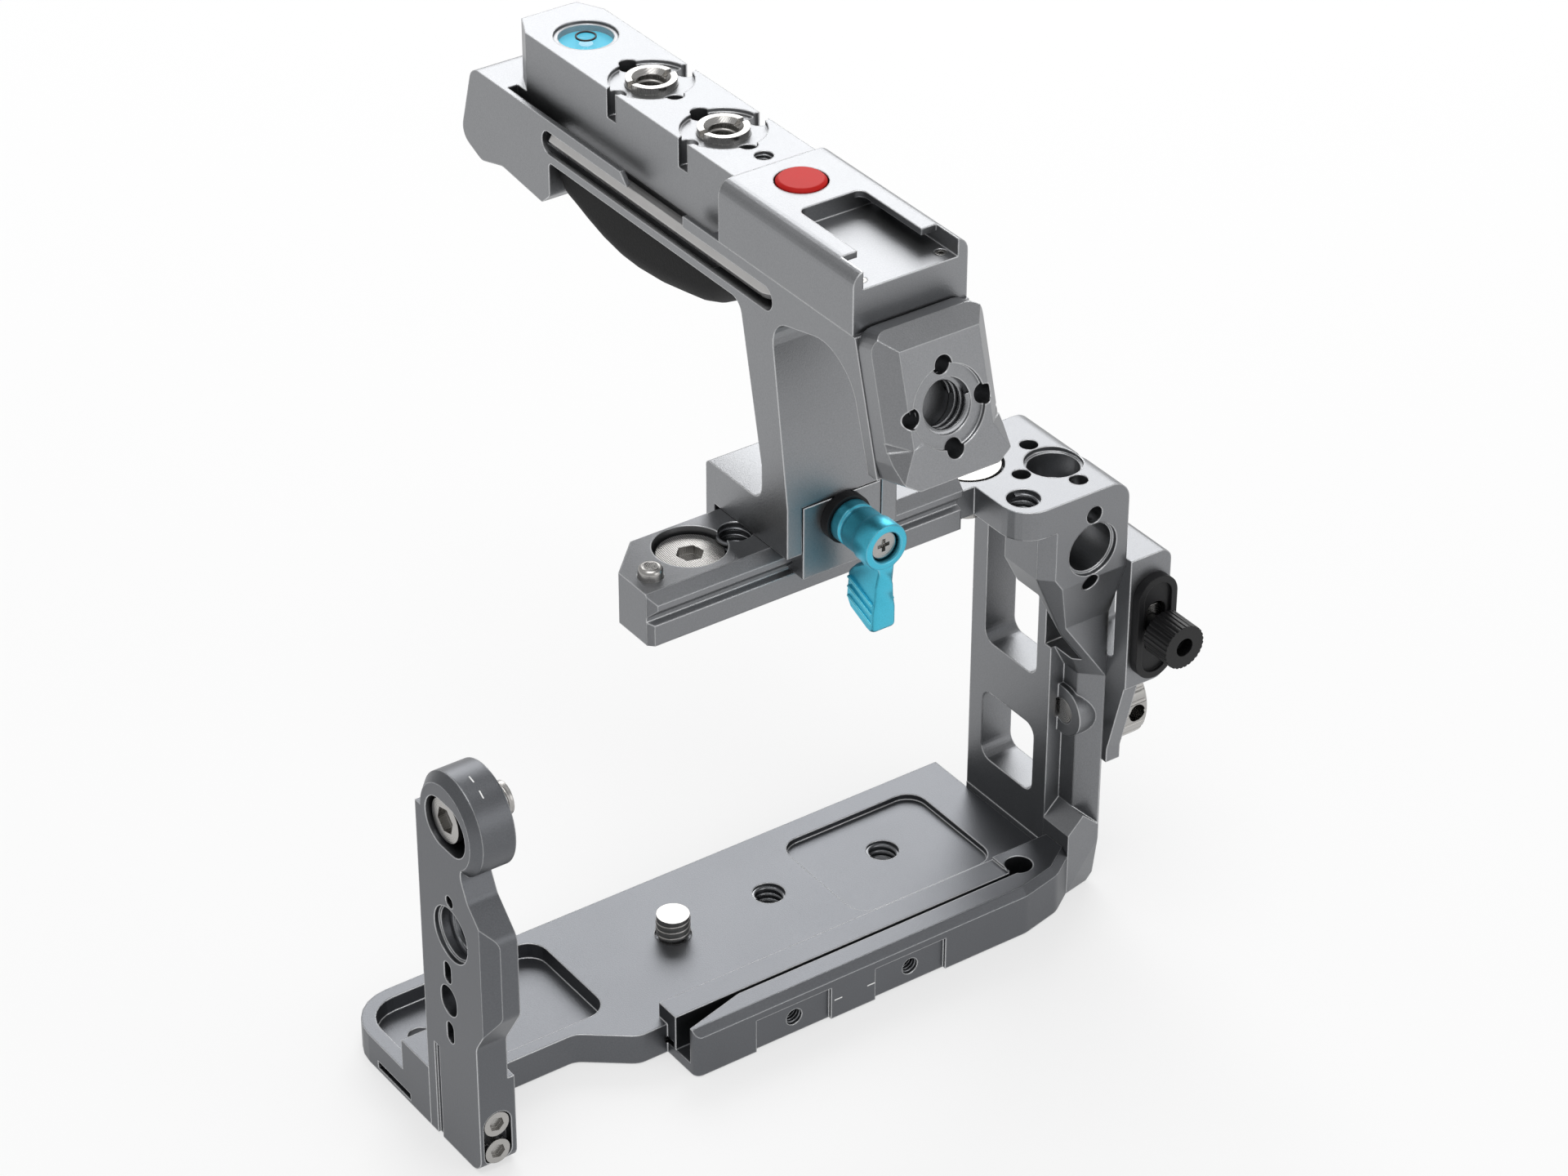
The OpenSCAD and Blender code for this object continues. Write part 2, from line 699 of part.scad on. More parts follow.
// length of the key's short leg
key_leg = 16; // [8:0.1:24]
// radius of the key's bend at its middle line
key_bend = 2.6; // [1.3:0.1:3.9]
// place of the key's magnet
magnet_y = 66; // [52.8:0.1:79.2]
// radius of the magnet
magnet_r = 2; // [1:0.1:3]
// height of the magnet
magnet_h = 2.5; // [1.2:0.1:3.8]
/* [Rubber grip] */
// half width of the rubber grip
rubber_half = 9.8; // [4.9:0.1:14.7]
// front end of the rubber grip
rubber_front = 25; // [12.5:0.1:37.5]
// depth of the rubber grip below the handle
rubber_low_d = 12.3; // [6.2:0.1:18.5]
// depth of the lowest point
rubber_low_y = 57; // [28.5:0.1:85.5]
// second point of the belly
rubber_a_y = 76.4; // [61.1:0.1:91.7]
// its depth
rubber_a_d = 8.5; // [4.2:0.1:12.8]
// third point of the belly
rubber_b_y = 43; // [21.5:0.1:64.5]
// its depth
rubber_b_d = 10.1; // [5:0.1:15.1]
// fourth point of the belly
rubber_c_y = 31; // [15.5:0.1:46.5]
// its depth
rubber_c_d = 5.5; // [2.8:0.1:8.2]
// depth of the belly behind its lowest point
rubber_mid_d = 11.1; // [5.5:0.1:16.6]
// bevel of the belly's long edges
rubber_bevel = 3.4; // [1.7:0.1:5.1]
/* [Clamp lever] */
// place of the clamp screw across
lever_x = 36.3; // [18.1:0.1:54.4]
// height of the clamp screw above the foot
lever_up = 5; // [2.5:0.1:7.5]
// radius of the clamp screw
stud_r = 2.5; // [1.2:0.1:3.8]
// how far the clamp screw goes into the foot
stud_in = 14.5; // [7.2:0.1:21.8]
// radius of the toothed collar
stud_spline_r = 3; // [1.5:0.1:4.5]
// length of the toothed collar
stud_spline_h = 3.2; // [1.6:0.1:4.8]
// number of teeth on the collar
spline_teeth = 12; // [6:1:48]
// size of a tooth of the collar
spline_tooth = 0.5; // [0.25:0.05:0.75]
// radius of the black washer
washer_r = 4.5; // [2.2:0.1:6.8]
// thickness of the black washer
washer_h = 1.9; // [0.9:0.1:2.8]
// radius of the lever's barrel
barrel_r = 3.95; // [2:0.1:5.9]
// radius of the bore in the barrel
barrel_bore = 3.45; // [1.7:0.1:5.2]
// radius of the lever's round head
lever_head_r = 4.3; // [2.1:0.1:6.4]
// depth of the lever's round head
lever_head_h = 4.6; // [2.3:0.1:6.9]
// length of the lever's tail below the axis
lever_tail = 17; // [8.5:0.1:25.5]
// width of the lever's tail
lever_tail_w = 4.5; // [2.2:0.1:6.8]
// depth of the lever's front face
lever_front = -4.3; // [-6.4:0.1:-2.1]
// depth of the tail at its tip
lever_tip = 2.5; // [1.2:0.1:3.8]
// depth of the tail's blade
lever_blade_d = 8.8; // [4.4:0.1:13.2]
// distance below the axis where the blade starts to slant
lever_slant = 10.3; // [5.2:0.1:15.4]
// distance below the axis of the blade's top
lever_neck = 4.3; // [2.1:0.1:6.4]
// thickness of the wall inside the lever
lever_web = 0.5; // [0.25:0.05:0.75]
// travel of the lever when it is pulled out of its teeth
lever_pull = 2.5; // [1.2:0.1:3.8]
// radius of the lever spring wire
lever_wire_r = 0.18; // [0.09:0.01:0.27]
// distance of the first grip groove below the axis
lever_groove_z = 7; // [3.5:0.1:10.5]
// distance between the grip grooves
lever_groove_pitch = 2.6; // [1.3:0.1:3.9]
// width of a grip groove
lever_groove_w = 0.9; // [0.45:0.05:1.35]
// depth of a grip groove
lever_groove_deep = 0.35; // [0.15:0.05:0.5]
// width of the cross slot in the lever's screw
cap_cross_w = 0.7; // [0.35:0.05:1.05]
// length of the lever screw in the clamp screw
cap_shank_len = 6; // [3:0.1:9]
// radius of the lever screw's head
cap_r = 2.5; // [1.2:0.1:3.8]
// height of the lever screw's head
cap_h = 1.6; // [0.8:0.1:2.4]
// how deep the lever screw's head lies
cap_drop = 1; // [0.5:0.05:1.5]
// radius of the lever screw's shank
cap_shank_r = 1.2; // [0.6:0.1:1.8]
// distance of a jaw spring from the clamp screw
jaw_spring_x = 5.6; // [2.8:0.1:8.4]
// radius of a jaw spring
jaw_spring_r = 1.3; // [0.6:0.1:2]
// length of a jaw spring
jaw_spring_len = 5; // [2.5:0.1:7.5]
/* [Cable clamp] */
// width of the clamp block
bracket_w = 9.1; // [4.5:0.1:13.6]
// front edge of the bracket's plate
bracket_front = -0.3; // [-0.45:0.05:-0.15]
// back of the clamp block
bracket_block_back = 17; // [8.5:0.1:25.5]
// underside of the clamp block
bracket_low = 46; // [23:0.1:69]
// top of the clamp block
bracket_high = 73.3; // [58.6:0.1:88]
// rounding of the clamp block's top edge
bracket_round = 2.4; // [1.2:0.1:3.6]
// thickness of the bracket's plate
bracket_plate = 3.1; // [1.6:0.1:4.6]
// height where the plate's front edge starts to slant
bracket_slant_z = 47.1; // [23.6:0.1:70.6]
// front edge at the plate's lower end
bracket_tip_y = 4; // [2:0.1:6]
// height of the slant's lower end
bracket_tip_z = 30.4; // [15.2:0.1:45.6]
// lower end of the plate
bracket_bottom = 27.6; // [13.8:0.1:41.4]
// back edge of the plate
bracket_back = 20; // [10:0.1:30]
// lower edge of the cable opening
plug_low = 50.6; // [25.3:0.1:75.9]
// upper edge of the cable opening
plug_high = 68.4; // [54.7:0.1:82.1]
// front of the cable opening
plug_front = 3.4; // [1.7:0.1:5.1]
// back of the cable opening
plug_back = 14.4; // [7.2:0.1:21.6]
// place of the cable clamp screw, in from the block face
clamp_in = 4; // [2:0.1:6]
// height of the cable clamp's screw
clamp_z = 58.6; // [29.3:0.1:87.9]
// half width of the black guide
oval_half = 4.35; // [2.2:0.1:6.5]
// height of the black guide
oval_tall = 21.4; // [10.7:0.1:32.1]
// how far the black guide stands out
oval_out = 1.8; // [0.9:0.1:2.7]
// half width of the guide's slot
oval_slot_half = 2.2; // [1.1:0.1:3.3]
// height of the guide's slot
oval_slot_tall = 10.4; // [5.2:0.1:15.6]
// width of the guide's rim
oval_rim = 1.3; // [0.6:0.1:2]
// depth of the field inside the guide's rim
oval_sink = 0.6; // [0.3:0.05:0.9]
// radius of the thumbscrew's head
thumb_r = 4.3; // [2.1:0.1:6.4]
// length of the thumbscrew's head
thumb_len = 6.2; // [3.1:0.1:9.3]
// radius of the thumbscrew's shank
thumb_neck_r = 1.9; // [0.9:0.1:2.8]
// play of the sliding nut
thumb_play = 0.1; // [0.05:0.01:0.15]
// number of flutes around the thumbscrew
thumb_flutes = 28; // [6:1:48]
// radius of a flute of the thumbscrew
thumb_flute_r = 0.3; // [0.15:0.05:0.45]
// gap between guide and thumbscrew head
thumb_gap = 1.6; // [0.8:0.1:2.4]
// radius of the socket in the thumbscrew
thumb_socket_r = 1.8; // [0.9:0.1:2.7]
// depth of that socket
thumb_socket_deep = 2.4; // [1.2:0.1:3.6]
// height of the cable jaw
jaw_pad_h = 9; // [4.5:0.1:13.5]
// width of the cable jaw
jaw_pad_w = 7; // [3.5:0.1:10.5]
// thickness of the cable jaw
jaw_pad_t = 1.6; // [0.8:0.1:2.4]
// width of the sliding nut
nut_w = 6.6; // [3.3:0.1:9.9]
// height of the sliding nut
nut_h = 7.4; // [3.7:0.1:11.1]
// thickness of the sliding nut
nut_t = 1.3; // [0.6:0.1:2]
// travel of the clamp screw up and down
carriage_travel = 2.6; // [1.3:0.1:3.9]
// place of the steel knob in depth
knob_y = 11.2; // [5.6:0.1:16.8]
// height of the steel knob
knob_z = 36.9; // [18.4:0.1:55.3]
// radius of the steel knob
knob_r = 8.5; // [4.2:0.1:12.8]
// length of the steel knob's head
knob_len = 5.4; // [2.7:0.1:8.1]
// radius of the cross hole
knob_bar_r = 1.75; // [0.9:0.1:2.6]
// radius of the steel knob's shank
knob_shank_r = 2.5; // [1.2:0.1:3.8]
// radius of the boss the knob screws into
knob_boss_r = 5; // [2.5:0.1:7.5]
// length of that boss
knob_boss_len = 4.7; // [2.4:0.1:7]
// number of flutes around the steel knob
knob_flutes = 24; // [6:1:48]
// radius of a flute
knob_flute_r = 0.5; // [0.25:0.05:0.75]
// bevel of the steel knob's rim
knob_rim = 0.6; // [0.3:0.05:0.9]
/* [Camera screw] */
// radius of the camera screw head
cam_head_r = 6.9; // [3.4:0.1:10.4]
// radius of its smooth shank
cam_neck_r = 2.5; // [1.2:0.1:3.8]
// height of the camera screw's head
cam_head_h = 2.6; // [1.3:0.1:3.9]
// how far the camera screw stands above the seat
cam_shank_out = 4.5; // [2.2:0.1:6.8]
// depth of the relief round the camera screw in the seat
cam_relief_deep = 0.8; // [0.4:0.05:1.2]
// width of the camera screw's slot
cam_slot_w = 1.6; // [0.8:0.1:2.4]
// depth of that slot
cam_slot_deep = 1.2; // [0.6:0.1:1.8]

/* [Hidden] */

$fn = 48;
// number of straight pieces in a rounded outline corner
corner_steps = 6;
// a very thin layer that joins two touching pieces of one solid
skin = 0.01;
half = 0.5;

wall_in = wall_out - side_thick;
wall_seat = wall_out - side_foot;
flange_in = wall_out - flange_w;
cheek_left = wall_out - cheek_w;
top_left = wall_out - top_w;
top_arm_left = wall_out - top_arm_w;
corner_hole_x = wall_out - corner_hole_in;
corner_quarter_x = wall_out - corner_quarter_in;
knob_boss_in = wall_out - knob_boss_len;
bracket_out = wall_out + bracket_w;
clamp_x = bracket_out - clamp_in;
base_right = wall_seat - seat_gap;
rail_sweep_x = wall_seat - rail_sweep_in;
rail_bend_x = wall_seat - rail_bend_in;
groove_end = wall_seat - groove_in;
big_lead_r = big_r + big_lead;
ext_front = arm_back + seat_gap;
top_under = top_z - top_thick;
dove_right = top_arm_left - dove_gap;
tongue_right = wall_out - tongue_in;
rail_screw_pitch = top_arm_left + rail_screw_in - rail_screw_x;
dove_len = dove_right - dove_left;
dove_top = top_z + dove_rise;
dove_low = dove_top - dove_h;
dove_edge_z = dove_top - dove_edge_d;
dove_neck_z = dove_top - dove_neck_d;
foot_low = dove_top + rail_gap;
foot_top = foot_low + foot_h;
jaw_low = dove_top - jaw_hook;
jaw_top = foot_low + jaw_h;
lever_z = foot_low + lever_up;
head_low = foot_low + handle_rise;
head_top = head_low + head_h;
deck_top = head_low + deck_h;
shoe_floor = head_top - shoe_deep;
cavity_top = head_top - head_roof;
belly_z = head_low - bar_h;
slot_low = belly_z + slot_up;
slot_high = slot_low + slot_h;
key_z = (slot_low + slot_high) * half;
deck_back = tail_y - deck_back_in;
deck_taper_y = deck_back - deck_taper;
level_y = deck_back - level_in;
tail_inner_y = tail_y - tail_len;
slot_back = tail_inner_y + slot_over;
key_back = slot_back - key_end;
rubber_back = tail_inner_y - edge_r;
switch_top = head_low + seat_gap * 2 + board_h + switch_h;
key_corner_r = key_half / cos(30);
key_room_x = key_x + key_half + free_gap;
plate_wide = plate_half + plate_side;
plate_top_out = plate_top_s + plate_side;
barrel_len = post_front_y - washer_h - seat_gap - lever_front;
lever_spring_len = barrel_len - stud_spline_h - lever_web * 2 - cap_drop - cap_h - seat_gap * 2
  - lever_pull;

// Shapes used by several pieces

// moves the drawing, which starts at the rail's left front corner, to the tripod thread
module placed() translate([-axis_x, -axis_y, 0]) children();

// a box from its two corners
module span(low, high) translate(low) cube(high - low);

// an outline in x and y, drawn up from z0 to z1
module post_z(points, z0, z1) translate([0, 0, z0]) linear_extrude(z1 - z0) polygon(points);

// an outline in y and z, drawn from x0 to x1
module post_x(points, x0, x1)
  translate([x0, 0, 0]) rotate([90, 0, 90]) linear_extrude(x1 - x0) polygon(points);

// an outline in x and z, drawn from y0 to y1
module post_y(points, y0, y1)
  translate([0, y1, 0]) rotate([90, 0, 0]) linear_extrude(y1 - y0) polygon(points);

// round bars along the three directions
module bar_z(x, y, z0, z1, r) translate([x, y, z0]) cylinder(h = z1 - z0, r = r);
module bar_x(y, z, x0, x1, r) translate([x0, y, z]) rotate([0, 90, 0]) cylinder(h = x1 - x0, r = r);
module bar_y(x, z, y0, y1, r) translate([x, y0, z]) rotate([-90, 0, 0]) cylinder(h = y1 - y0, r = r);

// an outline with rounded corners, from a list of [across, up, corner radius]
function arc_points(a, b, c) =
  let (u = [a[0] - b[0], a[1] - b[1]], v = [c[0] - b[0], c[1] - b[1]],
    lu = norm(u), lv = norm(v), du = u / lu, dv = v / lv,
    ang = acos(max(-1, min(1, du * dv))), t = b[2] / tan(ang * half),
    p = [b[0], b[1]] + du * t, q = [b[0], b[1]] + dv * t,
    m = (du + dv) / norm(du + dv), mid = [b[0], b[1]] + m * (b[2] / sin(ang * half)),
    s = atan2(p[1] - mid[1], p[0] - mid[0]), e = atan2(q[1] - mid[1], q[0] - mid[0]),
    d = e - s > 180 ? e - s - 360 : e - s < -180 ? e - s + 360 : e - s)
  [for (i = [0:corner_steps]) mid + b[2] * [cos(s + d * i / corner_steps), sin(s + d * i / corner_steps)]];

function soft(list) =
  let (n = len(list))
  [for (i = [0:n - 1]) each (list[i][2] > 0
    ? arc_points(list[(i + n - 1) % n], list[i], list[(i + 1) % n])
    : [[list[i][0], list[i][1]]])];

// a slot with round ends, flat in x and y, long in y
module slot_plan(len, r) {
  translate([0, r - len * half]) circle(r = r);
  translate([0, len * half - r]) circle(r = r);
  translate([-r, r - len * half]) square([r * 2, len - r * 2]);
}

// cuts off what lies outside the plane through a, b and c, which run anticlockwise seen from outside
module plane_cut(a, b, c, big) {
  n = cross(b - a, c - a);
  translate(a) rotate([0, acos(n[2] / norm(n)), atan2(n[1], n[0])])
    translate([-big, -big, 0]) cube([big * 2, big * 2, big]);
}

// bevels the upper edge of an upright wall; the solid lies to the left of the way from p to q
module rim_cut(p, q, z, w) {
  d = (q - p) / norm(q - p);
  plane_cut([p[0], p[1], z - w], [q[0], q[1], z - w], [p[0] - d[1] * w, p[1] + d[0] * w, z], norm(q - p) + w);
}

// the drawing and its mirror image about the handle's middle
module both_sides() {
  children();
  translate([deck_mid * 2, 0, 0]) mirror([1, 0, 0]) children();
}

// the four small locating holes around a large hole, drawn up from 0
module pin_holes(h) for (a = [0:3]) rotate([0, 0, a * 90]) translate([pin_ring, 0, 0])
  cylinder(h = h, r = pin_hole_r);

// a screw head with a hexagonal socket, seen from above, top at 0
module socket_head(r, h, hex, deep) difference() {
  translate([0, 0, -h]) cylinder(h = h, r = r);
  translate([0, 0, -deep]) rotate([0, 0, 45]) cylinder(h = deep + over, r = hex, $fn = 6);
}

// a coil of wire as stacked rings joined by one thin sleeve
module coil(r, wire, h, turns) {
  pitch = (h - wire * 2) / turns;
  for (i = [0:turns]) translate([0, 0, wire + i * pitch]) rotate_extrude($fn = 24)
    translate([r - wire, 0]) circle(r = wire, $fn = 13);
  difference() {
    cylinder(h = h, r = r - wire * half, $fn = 24);
    translate([0, 0, -over]) cylinder(h = h + over * 2, r = r - wire * 1.5, $fn = 24);
  }
}

// Base plate

module rail_solid() difference() {
  post_z(soft([[seat_left, 0, rail_bevel], [rail_bend_x, 0, rail_back], [rail_sweep_x, rail_sweep_y,
    rail_back],
    [base_right, rail_end_y, 0], [base_right, lip_back, 0], [seat_left, lip_back, 0]]), 0, rail_top);
  // bevel along the front
  rim_cut([seat_left, 0], [rail_bend_x, 0], rail_top, rail_bevel);
  rim_cut([rail_bend_x, 0], [rail_sweep_x, rail_sweep_y], rail_top, rail_bevel);
  rim_cut([rail_sweep_x, rail_sweep_y], [base_right, rail_end_y], rail_top, rail_bevel);
  // sunk fields of the front
  for (f = [[field_a_left, field_a_right], [field_b_left, field_b_right]])
    span([f[0], -over, -over], [f[1], pad_drop, field_top]);
  // groove behind the rail, open at the left end
  post_z(soft([[seat_left - over, rail_taper_y, 0], [rail_taper_x, rail_back, rail_back],
    [groove_end, rail_back, 0], [groove_end, lip_front, 0], [seat_left - over, lip_front, 0]]),
    groove_floor, rail_top + over);
  bar_z(groove_end, rail_back + groove_pocket_r - pad_drop, groove_floor, rail_top + over, groove_pocket_r);
  // the lip behind the groove is a little lower than the rail
  span([seat_left - over, lip_front, lip_top], [groove_end - groove_pocket_r, lip_back + over, rail_top
    + over]);
}

module grip_plate() difference() {
  union() {
    post_z(soft([[ext_left, ext_front, 0], [ext_left, base_back, ext_corner_r], [seat_left + over,
      base_back, 0],
      [seat_left + over, ext_inner_front, 0], [ext_floor_right, ext_inner_front, ext_slant],
      [ext_floor_right - ext_corner_r, ext_front, ext_slant]]), 0, seat_z);
    span([ext_left, ext_front, 0], [arm_out + arm_foot_depth, foot_block_back, foot_block_top]);
  }
  post_z(soft([[ext_left + ext_rim, foot_block_back + ext_rim, ext_slant],
    [ext_left + ext_rim, base_back - ext_rim, ext_corner_r - ext_rim],
    [ext_floor_right, base_back - ext_rim, ext_slant], [ext_floor_right, ext_front + ext_rim, ext_slant],
    [arm_out + arm_foot_depth + ext_rim + ext_slant, ext_front + ext_rim, 0],
    [arm_out + arm_foot_depth + ext_rim, foot_block_back, 0]]), ext_floor, seat_z + over);
  // strap slot: in at the left side, out at the underside
  span([ext_left - over, strap_slot_y + ext_slant - strap_slot_len * half, strap_slot_z
    - strap_slot_h * half],
    [ext_left + ext_rim + over, strap_slot_y + ext_slant + strap_slot_len * half,
    strap_slot_z + strap_slot_h * half]);
  span([ext_left + ext_rim, strap_slot_y + ext_slant - strap_slot_len * half, -over],
    [ext_left + ext_rim * 2, strap_slot_y + ext_slant + strap_slot_len * half,
    strap_slot_z + strap_slot_h * half]);
  bar_z(ext_hole_x, ext_hole_y, -over, ext_floor + over, ext_hole_r);
  for (i = [0, 1]) bar_y(foot_screw_x, foot_screw_z + i * foot_screw_pitch, ext_front - over,
    foot_block_back + over, foot_shank_r + running_gap);
}

module base_plate() color("dimgray") placed() difference() {
  union() {
    rail_solid();
    span([seat_left, lip_back - skin, 0], [base_right, base_back, seat_z]);
    grip_plate();
  }
  // weight pocket in the seat
  post_z(soft([[seat_pocket_left, seat_pocket_front, seat_pocket_r], [seat_pocket_right, seat_pocket_front,
    seat_pocket_r], [seat_pocket_right, seat_pocket_back, seat_pocket_r], [seat_pocket_left, seat_pocket_back,
    seat_pocket_r]]), seat_z - seat_pocket, seat_z + over);
  // tripod threads
  bar_z(axis_x, axis_y, -over, seat_z + over, tripod_r);
  bar_z(thread_b_x, axis_y, -over, seat_z + over, tripod_r);
  // well and hole of the camera screw
  bar_z(axis_x - screw_place_y, axis_y, -over, screw_well_depth, screw_well_r);
  bar_z(axis_x - screw_place_y, axis_y, -over, seat_z + over, cam_neck_r + running_gap);
  bar_z(axis_x - screw_place_y, axis_y, seat_z - cam_relief_deep, seat_z + over, quarter_r + free_gap);
  // the two small threads of the rail
  for (s = [-half, half]) bar_y(m4_x + s * m4_pitch, m4_z, -over, m4_depth, m4_r);
  // slot in the left end
  span([seat_left - over, tool_slot_y - tool_slot_w * half, tool_slot_z - tool_slot_h * half],
    [seat_left + tool_slot_depth, tool_slot_y + tool_slot_w * half, tool_slot_z + tool_slot_h * half]);
  // holes for the side frame's screws
  for (i = [0, 1]) bar_x(frame_screw_y + i * frame_screw_pitch, frame_screw_z,
    wall_out - frame_screw_len - frame_head_h, base_right + over, frame_screw_r + running_gap);
}

module camera_screw() color("silver") placed() translate([axis_x - screw_place_y, axis_y, 0]) difference() {
  union() {
    bar_z(0, 0, screw_well_depth - cam_head_h - seat_gap, screw_well_depth - seat_gap, cam_head_r);
    bar_z(0, 0, screw_well_depth - cam_head_h, seat_z + cam_shank_out, cam_neck_r);
    bar_z(0, 0, seat_z + free_gap, seat_z + cam_shank_out, quarter_r);
  }
  translate([-screw_well_r, -cam_slot_w * half, -over])
    cube([screw_well_r * 2, cam_slot_w, screw_well_depth - cam_head_h + cam_slot_deep + over]);
}

// Arm on the grip side

module arm_outline() polygon(soft([[arm_back, 0, 0], [arm_back, boss_z, 0], [arm_waist_y, boss_z, 0],
  [arm_neck_y, arm_neck_z, foot_fillet], [arm_waist_y, arm_waist_z, foot_fillet],
  [arm_bulge_y, arm_bulge_end, foot_fillet], [arm_bulge_y, arm_bulge_start, foot_fillet],
  [arm_front, arm_bulge_low, foot_fillet], [arm_front, 0, foot_fillet]]));

module grip_arm() color("dimgray") placed() difference() {
  union() {
    translate([arm_out, 0, 0]) rotate([90, 0, 90]) linear_extrude(arm_depth) arm_outline();
    intersection() {
      translate([arm_out, 0, 0]) rotate([90, 0, 90])
        linear_extrude(arm_foot_depth) arm_outline();
      span([arm_out, arm_bulge_y - over, 0], [arm_out + arm_foot_depth, arm_back + over, arm_foot_top]);
    }
    bar_x(boss_y, boss_z, arm_out + boss_bevel, arm_out + boss_depth, boss_r);
    translate([arm_out, boss_y, boss_z]) rotate([0, 90, 0])
      cylinder(h = boss_bevel, r1 = boss_r - boss_bevel, r2 = boss_r);
  }
  // bevel along the bulge's outer edge
  translate([arm_out + arm_bulge_bevel, arm_bulge_y, arm_foot_shelf]) rotate([0, 0, 45])
    translate([-boss_r, -boss_r * half, 0]) cube([boss_r, boss_r, arm_waist_z - arm_foot_shelf]);
  // oblong counterbore and slot for the side screw
  for (s = [[arm_slot_r, arm_out - over, arm_out + arm_slot_deep],
    [arm_shank_slot_r, arm_out, arm_out + boss_depth + over]]) {
    bar_x(arm_slot_low_y, boss_z, s[1], s[2], s[0]);
    bar_x(arm_screw_y, boss_z, s[1], s[2], s[0]);
    span([s[1], arm_slot_low_y, boss_z - s[0]], [s[2], arm_screw_y, boss_z + s[0]]);
  }
  // large hole with its lead-in step and the small holes
  bar_x(arm_bore_y, arm_bore_z, arm_out - over, arm_out + arm_depth + over, big_r);
  bar_x(arm_bore_y, arm_bore_z, arm_out - over, arm_out + lead_depth, big_lead_r);
  bar_x(arm_bore_y, arm_pin_z + big_lead, arm_out - over, arm_out + pin_hole_depth, arm_short_r);
  for (z = [arm_slot_a_z, arm_slot_b_z]) translate([arm_out - over, arm_small_y, z])
    rotate([0, 90, 0]) rotate([0, 0, 90]) linear_extrude(arm_depth + over * 2)
    slot_plan(arm_short_len, arm_short_r, $fn = 24);
  translate([arm_out - over, arm_small_y, arm_oval_z]) rotate([0, 90, 0])
    rotate([0, 0, 90]) linear_extrude(arm_depth + over * 2) slot_plan(arm_oval_len, arm_oval_r);
  // shallow groove towards the foot
  span([arm_out - over, arm_groove_y - arm_groove_w * half, -over],
    [arm_out + arm_groove_deep, arm_groove_y + arm_groove_w * half, arm_groove_top]);
  // foot screws and their shared recess
  for (i = [0, 1]) {
    bar_y(foot_screw_x, foot_screw_z + i * foot_screw_pitch, arm_front - over, arm_back + over,
      foot_shank_r + running_gap);
    bar_y(foot_screw_x, foot_screw_z + i * foot_screw_pitch, arm_front - over, arm_front + foot_recess,
      foot_recess_r);
  }
  span([foot_screw_x - foot_recess_r, arm_front - over, foot_screw_z],
    [foot_screw_x + foot_recess_r, arm_front + foot_recess, foot_screw_z + foot_screw_pitch]);
}

module arm_side_screw() color("silver") placed() {
  translate([arm_out + arm_slot_deep - seat_gap - arm_screw_head_h, arm_screw_y, boss_z])
    rotate([0, -90, 0])
    socket_head(arm_screw_head_r, arm_screw_head_h, rail_hex, rail_hex_deep);
  bar_x(arm_screw_y, boss_z, arm_out + arm_slot_deep - seat_gap - skin,
    arm_out + boss_depth + arm_shank_out, arm_shank_r - thread_relief);
  bar_x(arm_screw_y, boss_z, arm_out + boss_depth + free_gap, arm_out + boss_depth + arm_shank_out,
    arm_shank_r);
}

module arm_foot_screws() color("silver") placed() for (i = [0, 1])
  translate([foot_screw_x, arm_front + foot_recess - foot_head_h - seat_gap, foot_screw_z
    + i * foot_screw_pitch]) {
    rotate([90, 0, 0]) socket_head(foot_head_r, foot_head_h, foot_shank_r, foot_head_h * half);
    translate([0, foot_head_h - skin, 0]) rotate([-90, 0, 0])
      cylinder(h = foot_screw_len, r = foot_shank_r);
  }

// Side frame

module top_arm_plan() polygon(soft([[top_left, top_front, top_corner_r], [wall_out, top_front, 0],
  [wall_out, top_back, 0], [top_arm_left, top_back, top_shoulder_r], [top_arm_left, top_step_y, 0],
  [top_left, top_step_y, 0]]));

